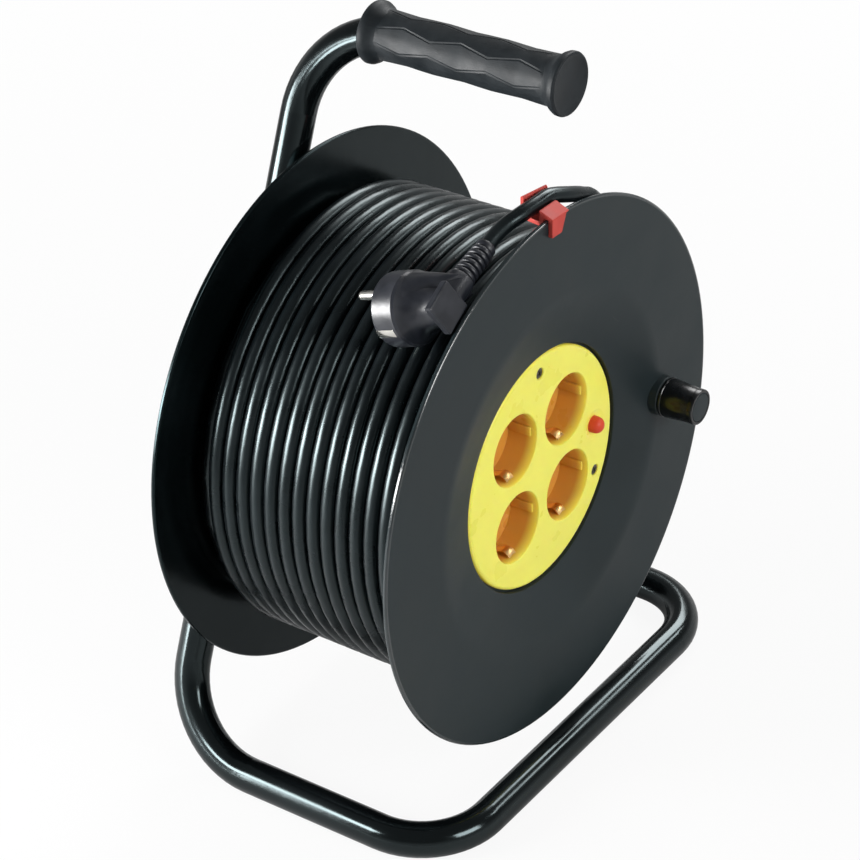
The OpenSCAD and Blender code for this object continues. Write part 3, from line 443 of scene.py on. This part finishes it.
bmesh.ops.transform(shoulder, verts=neck,
                    matrix=along_cord @ Matrix.Translation((0, 0, neck_at))
                    @ Matrix.Rotation(math.radians(45), 4, "Z"))
bmesh.ops.convex_hull(shoulder, input=shoulder.verts)
join(plug, softened(shoulder, 0.0006, from_angle=25))
join(plug, softened(turned([(0, 0), (0.0062, 0), (0.0075, 0.0015), (0.0075, 0.0188),
                            (0.0066, arm_end), (0, arm_end)], 48), 0.0004), along_cord)
join(plug, block(push_plate, (0, 0, 0), 0.0009),
     Matrix.Translation((-0.0026, 0.00225, 0.0015)) @ Matrix.Rotation(push_plate_tilt, 4, "Y"))
plug_piece = piece("moulded_plug", plug, plug_rubber, "drum",
                   ["plug_body"], plug_place, crease=18)

# Nickel plated brass pins with domed tips, and the strips of the earth contact, plated
# alike, in the plug's two side grooves.
strip_size = (0.0010, 0.0116, 0.0046)
strip_x, strip_y = 0.0181, 0.0318
nickel = surface("nickel_plated_brass", (0.60, 0.59, 0.55), (0.72, 0.71, 0.67), (0.16, 0.28),
                 metal=1.0)
pins = bmesh.new()
for side in (-1, 1):
    pin = turned([(0, pin_foot), (pin_d / 2, pin_foot), (pin_d / 2, 0.0546), (0.0021, 0.0558),
                  (0.0014, 0.0566), (0.0006, 0.05695), (0, pin_tip)], 32)
    join(pins, pin, Matrix.Translation((0, 0, side * pin_gap / 2)) @ along_pins)
pins_piece = piece("plug_contact_pins", pins, nickel, "drum",
                   ["plug_pins"], plug_place)
strips = bmesh.new()
for side in (-1, 1):
    join(strips, block(strip_size, (side * strip_x, strip_y, 0), 0.0003))
strips_piece = piece("plug_earth_strips", strips, nickel, "drum",
                     ["plug_earth_contacts"], plug_place)

# Strain relief: the same rubber in rings that grow smaller towards the cord, so that it
# bends in an even curve, with a plain collar at its end.
relief_rings = 6
ring_from, ring_pitch = 0.0206, 0.0034
ring_r, ring_shrink = 0.0063, 0.00014
between_r = 0.0044
relief = [(0, 0.0195), (0.0060, 0.0195)]
for k in range(relief_rings):
    at = ring_from + k * ring_pitch
    outer = ring_r - k * ring_shrink
    relief += [(between_r, at - 0.0003), (outer - 0.0002, at), (outer, at + 0.0002),
               (outer, at + 0.0018), (outer - 0.0002, at + 0.0020), (between_r, at + 0.0023)]
relief += [(0.0049, 0.0405), (0.0053, 0.0409), (0.0053, 0.0435), (0.0049, relief_length),
           (0, relief_length)]
relief_piece = piece("moulded_strain_relief", turned(relief, 48), plug_rubber, "drum",
                     ["plug_strain_relief"], plug_place @ along_cord, crease=50)

# ------------------------------------------------------------------ stand
# Steel tube of 19 mm, bent cold and stoved in gloss black. A plastic cap closes its
# free end, and the bracket that carries the axle is welded to the leaning post.
# The paint's reflections get the same painted cold tint.
paint = surface("gloss_black_paint", (0.0010, 0.0014, 0.0016), (0.0024, 0.0032, 0.0036),
                (0.12, 0.20), bumps=[(0.006, 0.00003)], patch=0.05, gloss=0.45, sheen=painted_cold_tint)
recolour(paint, "frame_tube")
black_plastic = surface("black_plastic", (0.004, 0.0050, 0.0058), (0.008, 0.0096, 0.0110),
                        (0.30, 0.42), bumps=[(0.0006, 0.00004)], gloss=0.4)


def eased(name, radius):
    """A CAD node's own shape with its sharp edges rounded."""
    made = bmesh.new()
    made.from_mesh(nodes[name].data)
    bmesh.ops.remove_doubles(made, verts=made.verts, dist=2e-6)
    bmesh.ops.dissolve_limit(made, angle_limit=math.radians(1), verts=made.verts,
                             edges=made.edges)
    return softened(made, radius)


piece("tube_plug_cap", eased("tube_end_cap", 0.0006), black_plastic, "frame",
      ["tube_end_cap"])
piece("welded_axle_bracket", eased("axle_bracket", 0.0006), paint, "frame",
      ["axle_bracket"])

# ------------------------------------------------------------------ grip
# Dark rubber sleeve pushed over the handle. Eight rows of long facets stagger round it,
# and a flared lip at each end keeps the hand on it.
grip_end = (0.030, -0.0665, 0.373)
grip_place = Matrix.Translation(grip_end) @ Matrix.Rotation(math.radians(-90), 4, "X")
grip_length = 0.118
grip_steps = 48
grip_r = 0.0133
facet_rows = 8
facet_shares = (0, 0.07, 0.35, 0.65, 0.93)
steps_round = facet_rows * len(facet_shares)
facet_length = 0.0173
facet_sway = math.radians(8.5)
facet_from, facet_to = 0.0071, 0.1109
facet_fade = 0.006
facet_flatness = 0.35
groove = 0.0004
rubber = surface("grip_rubber", (0.0085, 0.0110, 0.0130), (0.0150, 0.0185, 0.0210),
                 (0.44, 0.54), bumps=[(0.0005, 0.00003), (0.003, 0.00004)], patch=0.01,
                 gloss=0.2)
grip = bmesh.new()
bmesh.ops.create_grid(grip, x_segments=grip_steps, y_segments=steps_round, size=0.5)
for v in grip.verts:
    height = facet_from + (facet_to - facet_from) * (v.co.x + 0.5)
    row, step = divmod(round((v.co.y + 0.5) * steps_round), len(facet_shares))
    share = facet_shares[step]
    wave = 2 * abs(((height - facet_from) / facet_length) % 2 - 1) - 1
    sway = facet_sway * wave * (-1) ** row
    width = 2 * math.pi / facet_rows - 2 * sway
    flat = math.cos(width / 2) / math.cos(width * (share - 0.5))
    fade = max(0, min(1, (height - facet_from) / facet_fade, (facet_to - height) / facet_fade))
    radius = grip_r * (1 - facet_flatness * fade * (1 - flat)) - groove * fade * (step == 0)
    angle = 2 * math.pi * row / facet_rows + sway + share * width
    v.co = (radius * math.cos(angle), radius * math.sin(angle), height)
bmesh.ops.remove_doubles(grip, verts=grip.verts, dist=2e-5)
bmesh.ops.holes_fill(grip, edges=grip.edges, sides=0)
bmesh.ops.recalc_face_normals(grip, faces=grip.faces)
lip = [(0, 0.0012), (0.0125, 0.0010), (0.0140, 0.0004), (0.0152, 0), (0.0161, 0.0004),
       (0.0165, 0.0012), (0.0164, 0.0030), (0.0155, 0.0048), (0.0141, 0.0065),
       (0.0133, 0.0088), (0.0130, 0.0100), (0, 0.0100)]
join(grip, turned(lip, 64))
join(grip, turned([(radius, grip_length - height) for radius, height in lip], 64))
piece("moulded_grip", grip, rubber, "frame", ["grip"], grip_place, crease=24)

# ------------------------------------------------------------------ axle
# Steel axle turned from bar, zinc plated, with a washer and a nut at each end. It is
# fixed in the bracket, and the drum's white bush runs on it.
zinc = surface("zinc_plated_steel", (0.42, 0.43, 0.45), (0.60, 0.61, 0.63), (0.22, 0.38),
               bumps=[(0.001, 0.00002)], patch=0.008, metal=1.0)
recolour(zinc, "axle", "front_washer", "front_nut", "front_flange_screws", "cover_screw",
         "knob_pin", "clamp_screws")
piece("rear_plain_washer", eased("rear_washer", 0.0003), zinc, "frame",
      ["rear_washer"])
piece("rear_hex_nut", eased("rear_nut", 0.0005), zinc, "frame", ["rear_nut"])
bush_plastic = surface("bush_plastic", (0.70, 0.70, 0.64), (0.78, 0.78, 0.73), (0.35, 0.5),
                       bumps=[(0.001, 0.00002)])
recolour(bush_plastic, "hub_bush")

# ------------------------------------------------------------------ flanges
# Two dished discs moulded in plastic, satin grey at the front and glossy black at the
# rear. The front one carries the knob's boss and a pocket for the socket plate.
face = Matrix.Translation((0, 0, axle_z)) @ Matrix.Rotation(math.radians(90), 4, "X")
back = Matrix.Translation((0, 0, axle_z)) @ Matrix.Rotation(math.radians(-90), 4, "X")
dish_and_rim = [(0.0680, 0.06560), (0.0686, 0.06577), (0.0925, 0.07165), (0.0935, 0.07189),
                (0.0960, 0.07246), (0.0985, 0.07285), (0.1010, 0.0730), (0.1020, 0.0730),
                (0.1455, 0.0730), (0.1461, 0.0730), (0.1469, 0.07290), (0.1473, 0.07256),
                (0.1475, 0.0722), (0.1475, 0.0713), (0.1473, 0.07094), (0.1469, 0.07060),
                (0.1461, 0.0705), (0.1455, 0.0705), (0.1010, 0.0705), (0.1000, 0.0705),
                (0.0975, 0.07038), (0.0950, 0.06976), (0.0940, 0.06952), (0.0825, 0.06669),
                (0.0825, 0.0595), (0.0794, 0.0595), (0.0794, 0.0550), (0.0769, 0.0550)]
disc_steps = 160
satin_gloss = 0.28
rim_gloss, rim_rough_share = 0.9, 0.3
rim_from, rim_to = 0.1458, 0.1463
satin_grey = surface("satin_grey_plastic", (0.0085, 0.0145, 0.0162), (0.0125, 0.0195, 0.0218),
                     (0.40, 0.52), bumps=[(0.0007, 0.00003), (0.02, 0.0001)], patch=0.05,
                     gloss=satin_gloss)
# Its rim is rubbed smooth: it is less rough and mirrors more than the face
tree = satin_grey.node_tree
satin_shader = tree.nodes["Principled BSDF"].inputs
off_axle = tree.nodes.new("ShaderNodeVectorMath")
off_axle.operation = "MULTIPLY_ADD"
off_axle.inputs[1].default_value = (1, 0, 1)
off_axle.inputs[2].default_value = (0, 0, -axle_z)
tree.links.new(tree.nodes.new("ShaderNodeTexCoord").outputs["Object"], off_axle.inputs[0])
rim_reach = length_of(tree, off_axle.outputs[0])
rim_rough = maths(tree, "MULTIPLY",
                  spread(tree, rim_reach, 1.0, rim_rough_share, rim_from, rim_to),
                  satin_shader["Roughness"].links[0].from_socket)
tree.links.new(rim_rough, satin_shader["Roughness"])
tree.links.new(spread(tree, rim_reach, satin_gloss, rim_gloss, rim_from, rim_to),
               satin_shader["Specular IOR Level"])
knob_at = (0.10226, -0.00697)
boss_r = 0.011
boss_foot, boss_top = 0.0708, 0.0770
front = turned([(0.055, 0.062), (0.0675, 0.062), (0.0675, 0.0650), (0.06762, 0.06538)]
               + dish_and_rim
               + [(0.0769, 0.0635), (0.070, 0.0635), (0.070, 0.0595), (0.055, 0.0595)],
               disc_steps)
join(front, turned([(0, boss_foot), (boss_r, boss_foot), (boss_r, 0.0762),
                    (boss_r - 0.0003, 0.0767), (boss_r - 0.0008, boss_top),
                    (0, boss_top)], 48),
     Matrix.Translation((*knob_at, 0)))
piece("front_disc", front, satin_grey, "drum", ["front_flange"], face,
      crease=28)
# The rear disc's reflections get a painted teal tint.
deep_black = surface("deep_black_plastic", (0.0008, 0.0016, 0.0018), (0.0020, 0.0034, 0.0038),
                     (0.16, 0.26), bumps=[(0.01, 0.00008)], patch=0.06, gloss=0.26,
                     sheen=(0.64, 0.94, 1.0))
rear = turned([(0.0162, 0.0650), (0.0164, 0.0654), (0.0167, 0.0655), (0.0668, 0.0655),
               (0.0675, 0.06553)]
              + dish_and_rim + [(0.0769, 0.0630), (0.0162, 0.0630)], disc_steps)
piece("rear_disc", rear, deep_black, "drum", ["rear_flange"], back, crease=28)

# Shares of a screw's head: the radius and height of its dome's two steps, the radius of
# its flat top and of its recess, and the side and the place of the four corners that
# leave a cross in the recess. The cross is turned by cross_turn degrees.
dome_low, dome_high = (1, 0.6), (0.93, 0.85)
flat_share, recess_share = 0.70, 0.60
corner_share, corner_off = 0.36, 0.31
cross_turn = 20


def screw(head_r, head_low, head_top, shank_r, shank_low, slot_deep):
    """A screw that stands on Z, with a cross cut into its domed head."""
    dome = [(head_r * across, head_low + up_by * (head_top - head_low))
            for across, up_by in (dome_low, dome_high)]
    made = turned([(0, shank_low), (shank_r * 0.5, shank_low), (shank_r, shank_low + shank_r),
                   (shank_r, head_low), (head_r, head_low), *dome,
                   (head_r * flat_share, head_top), (head_r * recess_share, head_top),
                   (head_r * recess_share, head_top - slot_deep),
                   (0, head_top - slot_deep)], 32)
    side, off = head_r * corner_share, head_r * corner_off
    for quarter in range(4):
        corner = block((side, side, slot_deep * 1.02), (0, 0, 0), 0.00005)
        join(made, corner, Matrix.Rotation(math.radians(90 * quarter + cross_turn), 4, "Z")
             @ Matrix.Translation((off, off, head_top - slot_deep * 0.49)))
    return made


def around(distance, angles):
    """Places at a distance from the axis, one at each angle."""
    return [Matrix.Translation((distance * math.cos(math.radians(a)),
                                distance * math.sin(math.radians(a)), 0)) for a in angles]


rear_screw_ring = 0.062
rear_screws = bmesh.new()
for spot in around(rear_screw_ring, (45, 135, 225, 315)):
    join(rear_screws, screw(0.0036, 0.0655, 0.0675, 0.00175, 0.0515, 0.0012), spot)
piece("rear_disc_screws", rear_screws, zinc, "drum", ["rear_flange_screws"],
      back)

# ------------------------------------------------------------------ barrel and wiring
# Black plastic barrel between the discs, with the clamp for the cord's inner end. Its
# wires run to the contacts and to the overload cut-out behind the sockets.
recolour(black_plastic, "drum_barrel", "socket_cover", "thermal_cutout", "cord_clamp")
brass = surface("spring_brass", (0.74, 0.44, 0.17), (0.88, 0.60, 0.28), (0.26, 0.42),
                bumps=[(0.002, 0.00003)], patch=0.006, metal=1.0)
recolour(brass, "live_busbar", "neutral_busbar")
wires = [("brown_wire", (0.16, 0.06, 0.03), (0.22, 0.09, 0.04), 0.01,
          ["live_lead", "switched_lead"]),
         ("blue_wire", (0.02, 0.08, 0.40), (0.03, 0.12, 0.50), 0.01, ["neutral_lead"]),
         ("earth_wire", (0.10, 0.36, 0.05), (0.55, 0.52, 0.05), 0.004, ["earth_lead"])]
for name, dark, light, patch, leads in wires:
    recolour(surface(name, dark, light, (0.3, 0.4), bumps=[(0.001, 0.00002)], patch=patch),
             *leads)

# ------------------------------------------------------------------ socket plate
# Glossy yellow plate, moulded in one piece with four socket cups. The plastic is a little
# clear.
# Down inside the cups the yellow is painted amber as shade, and the cups' mouths get a faint
# painted glow.
plate_top = 0.0650
plate_under = 0.0620
plate_face_r = 0.0640
cup_floor = 0.0475
cup_back = 0.0445
cup_mouth_r, cup_outer_r = 0.0201, 0.0209
pin_mouth_r = 0.0030
screw_mouth_r = 0.0034
scoop_r = 0.0088
rib_size = (0.0016, 0.0054, 0.0142)
rib_x, rib_height = 0.0192, 0.0543
stem_r, stem_foot, stem_top = 0.005, 0.0235, 0.0625
socket_off = 0.0234
sockets = [(x, y) for x in (-socket_off, socket_off) for y in (-socket_off, socket_off)]
button_at = (0.0495, 0.0)
screw_spots = [(0.0, 0.057), (0.04936, -0.0285)]
lens_yellow = surface("yellow_plastic", (0.80, 0.75, 0.110), (0.83, 0.78, 0.125), (0.26, 0.36),
                      bumps=[(0.015, 0.00006)], patch=0.02, gloss=0.3)
# Below the plate's face the yellow turns to a painted amber shade, and the cups' mouths get a
# faint painted glow. Each pair of numbers is the heights between which that change comes in.
recess_shade_at = (0.0646, 0.0580)
painted_glow_in_at, painted_glow_out_at = (0.0649, 0.0640), (0.0635, 0.0585)
painted_mouth_glow = 0.14
tree = lens_yellow.node_tree
yellow_shader = tree.nodes["Principled BSDF"].inputs
plate_axes = tree.nodes.new("ShaderNodeSeparateXYZ")
tree.links.new(tree.nodes.new("ShaderNodeTexCoord").outputs["Object"], plate_axes.inputs[0])


def with_depth(low, high, heights):
    """Goes from low to high as the plate's height falls through the two heights."""
    return spread(tree, plate_axes.outputs["Y"], low, high, -heights[0], -heights[1])


# The amber that the cups' walls turn to with depth is painted shade, not the plastic's own
# colour.
recess_shade = tree.nodes.new("ShaderNodeMix")
recess_shade.data_type = "RGBA"
recess_shade.inputs["B"].default_value = (0.66, 0.310, 0.055, 1)
tree.links.new(with_depth(0, 1, recess_shade_at), recess_shade.inputs["Factor"])
tree.links.new(yellow_shader["Base Color"].links[0].from_socket, recess_shade.inputs["A"])
tree.links.new(recess_shade.outputs["Result"], yellow_shader["Base Color"])
# The cups' mouths get a faint painted glow from emission, though nothing there gives light.
yellow_shader["Emission Color"].default_value = (1.0, 0.72, 0.06, 1)
tree.links.new(maths(tree, "MULTIPLY", with_depth(0, painted_mouth_glow, painted_glow_in_at),
                     with_depth(1, 0, painted_glow_out_at)), yellow_shader["Emission Strength"])
yellow_shader["Subsurface Weight"].default_value = 0.4
yellow_shader["Subsurface Radius"].default_value = (1.0, 0.7, 0.1)
yellow_shader["Subsurface Scale"].default_value = 0.005


def ring(made, centre, radius, height, steps=48):
    """The edges of a level circle."""
    verts = bmesh.ops.create_circle(made, radius=radius, segments=steps,
                                    matrix=Matrix.Translation((*centre, height)))["verts"]
    return list({e for v in verts for e in v.link_edges})


def carried(made, edges, centre, stations):
    """Draws a ring's wall on through the stations, each a radius and a height."""
    for radius, height in stations:
        out = bmesh.ops.extrude_edge_only(made, edges=edges)["geom"]
        fresh = {g for g in out if isinstance(g, bmesh.types.BMVert)}
        for v in fresh:
            spoke = Vector((v.co.x - centre[0], v.co.y - centre[1])).normalized() * radius
            v.co = (centre[0] + spoke.x, centre[1] + spoke.y, height)
        edges = [e for e in {e for v in fresh for e in v.link_edges} if set(e.verts) <= fresh]
    return edges


def filled(made, *rings):
    """A flat face between the first ring and the others, with a narrow band at its edges."""
    edges = [e for r in rings for e in r]
    out = bmesh.ops.triangle_fill(made, use_beauty=True, edges=edges)["geom"]
    faces = [g for g in out if isinstance(g, bmesh.types.BMFace)]
    bmesh.ops.inset_region(made, faces=faces, thickness=0.0002, depth=0, use_even_offset=True)


plate = bmesh.new()
fronts = [ring(plate, (0, 0), plate_face_r, plate_top, 128)]
backs = [carried(plate, fronts[0], (0, 0), [(0.06475, 0.06486), (0.0654, 0.06445),
                                            (0.06582, 0.0638), (0.0660, 0.0630),
                                            (0.0660, plate_under)])]
for spot in sockets:
    mouth = ring(plate, spot, cup_mouth_r, plate_top, 64)
    fronts.append(mouth)
    wall_foot = carried(plate, mouth, spot, [(0.01975, 0.06488), (0.01955, 0.0646),
                                             (0.0195, 0.0642), (0.0195, cup_floor)])
    holes = [(spot[0] + side * pin_gap / 2, spot[1]) for side in (-1, 1)]
    tops = [ring(plate, hole, pin_mouth_r, cup_floor, 24) for hole in holes]
    ends = [carried(plate, top, hole, [(0.0026, cup_floor - 0.0004), (0.0026, cup_back)])
            for top, hole in zip(tops, holes)]
    filled(plate, wall_foot, *tops)
    root = ring(plate, spot, cup_outer_r, plate_under, 64)
    backs.append(root)
    filled(plate, carried(plate, root, spot, [(cup_outer_r, cup_back)]), *ends)
for spot in screw_spots:
    mouth = ring(plate, spot, screw_mouth_r, plate_top, 24)
    fronts.append(mouth)
    backs.append(carried(plate, mouth, spot, [(0.0032, 0.0648), (0.0032, 0.0632),
                                              (0.00185, 0.0632), (0.00185, plate_under)]))
mouth = ring(plate, button_at, scoop_r, plate_top, 40)
fronts.append(mouth)
backs.append(carried(plate, mouth, button_at, [(0.0080, 0.06485), (0.0066, 0.0644),
                                               (0.0055, 0.0641), (0.0048, 0.0640),
                                               (0.0048, plate_under)]))
filled(plate, *fronts)
filled(plate, *backs)
bmesh.ops.recalc_face_normals(plate, faces=plate.faces)
for x, y in sockets:
    for side in (-1, 1):
        join(plate, block(rib_size, (x + side * rib_x, y, rib_height), 0.0004))
join(plate, turned([(0, stem_foot), (stem_r, stem_foot), (stem_r, stem_top),
                    (0, stem_top)], 32))
piece("yellow_socket_plate", plate, lens_yellow, "drum", ["socket_plate"],
      face, crease=30)

# Two plated steel screws hold the plate on the drum. Their domed heads are sunk a little
# below the plate's face.
dark_steel = surface("dark_plated_steel", (0.10, 0.09, 0.075), (0.20, 0.18, 0.15), (0.3, 0.45),
                     patch=0.002, metal=1.0)
plate_screw_set = bmesh.new()
for spot in screw_spots:
    join(plate_screw_set, screw(0.0030, 0.0633, 0.0646, 0.00175, 0.051, 0.0010),
         Matrix.Translation((*spot, 0)))
piece("plate_fixing_screws", plate_screw_set, dark_steel, "drum",
      ["plate_screws"], face)

# Earth contacts: brass strips behind the cups, whose bent tongues reach through the
# floor of each cup and press on the sides of a plug.
strip_height = 0.0440
tongue_w, tongue_thick = 0.0062, 0.0007
tongue_crown, crown_from = 0.0006, 0.050
tongue_path = [(0.0186, strip_height), (0.0186, 0.0490), (0.0183, 0.0510), (0.0174, 0.0530),
               (0.0165, 0.0548), (0.0160, 0.0564), (0.0160, 0.0578), (0.0166, 0.0592),
               (0.0176, 0.0604), (0.0187, 0.0612)]
last = len(tongue_path) - 1
contacts = bmesh.new()
for x in (-socket_off, socket_off):
    join(contacts, block((0.008, 0.0842, 0.001), (x, 0, strip_height), 0.0002))
join(contacts, block((2 * socket_off, 0.008, 0.001), (0, 0, strip_height), 0.0002))
for x, y in sockets:
    for end in (-1, 1):
        tongue = bmesh.new()
        bmesh.ops.create_grid(tongue, x_segments=4, y_segments=last, size=0.5)
        for v in tongue.verts:
            out_by, height = tongue_path[round((v.co.y + 0.5) * last)]
            rounded = tongue_crown * (1 - 4 * v.co.x ** 2) * (height > crown_from)
            v.co = (x + v.co.x * tongue_w, y + end * (out_by - rounded), height)
        bmesh.ops.solidify(tongue, geom=tongue.faces[:] + tongue.edges[:] + tongue.verts[:],
                           thickness=tongue_thick)
        bmesh.ops.recalc_face_normals(tongue, faces=tongue.faces)
        join(contacts, tongue)
piece("earth_contact_springs", contacts, brass, "drum", ["earth_clips"], face,
      crease=50)

# ------------------------------------------------------------------ reset button
# Red button with a domed end in a shallow scoop of the plate. Pressed, it closes the
# overload cut-out again, and a coil spring of steel wire below it is squeezed.
red = surface("red_plastic", (0.58, 0.052, 0.020), (0.66, 0.070, 0.028), (0.34, 0.46),
              bumps=[(0.003, 0.00004)], patch=0.01, gloss=0.25)
button = turned([(0, 0.0570), (0.0053, 0.0570), (0.0053, 0.0580), (0.0046, 0.0580),
                 (0.0046, 0.0660), (0.00452, 0.0668), (0.00425, 0.0677), (0.0038, 0.06855),
                 (0.0031, 0.0693), (0.0022, 0.06995), (0.0011, 0.07035), (0, 0.0705)], 48)
piece("reset_push_button", button, red, "button", ["reset_button"],
      face @ Matrix.Translation((*button_at, 0)), crease=50)
coil = bmesh.new()
coil.from_mesh(nodes["button_spring"].data)
spring = piece("button_return_spring", coil, zinc, "drum", ["button_spring"])
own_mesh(spring)

# ------------------------------------------------------------------ clip
# Clip moulded in red plastic and pushed over the front disc's rim. Its arm hooks over
# the cord, so that the free end stays in its place.
dull_red = surface("dull_red_plastic", (0.40, 0.045, 0.035), (0.48, 0.060, 0.048),
                   (0.42, 0.52), bumps=[(0.003, 0.00004)], patch=0.01, gloss=0.15)
piece("rim_cord_clip", eased("cord_clip", 0.0004), dull_red, "drum",
      ["cord_clip"], crease=12)

# ------------------------------------------------------------------ crank knob
# Glossy black knob that turns on a pin through the front disc. A thin collar lies at
# its foot, and a flat grey cap closes its end.
knob_place = face @ Matrix.Translation((*knob_at, 0))
knob_end, cap_foot = 0.0980, 0.0958
gloss_black = surface("glossy_black_plastic", (0.0020, 0.0026, 0.0032),
                      (0.0050, 0.0060, 0.0072), (0.20, 0.32), bumps=[(0.004, 0.00004)],
                      patch=0.012, gloss=0.45)
knob = turned([(0.0032, 0.0773), (0.0106, 0.0773), (0.0110, 0.0777), (0.0110, 0.0786),
               (0.0107, 0.0789), (0.0107, 0.0792), (0.01085, 0.0796), (0.0097, 0.0942),
               (0.0096, 0.0946), (0.0096, 0.0949), (0.0099, 0.0952), (0.0099, 0.0974),
               (0.0097, 0.0979), (0.0093, knob_end), (0.0085, knob_end), (0.0082, 0.0978),
               (0.0082, cap_foot), (0.0032, cap_foot)], 64)
piece("turning_knob", knob, gloss_black, "knob", ["crank_knob"],
      knob_place, crease=40)
cap = turned([(0, cap_foot), (0.0080, cap_foot), (0.0080, 0.0976), (0.0078, 0.09795),
              (0.0072, knob_end), (0, knob_end)], 48)
piece("knob_end_cap", cap, satin_grey, "knob", ["knob_cap"], knob_place,
      crease=40)
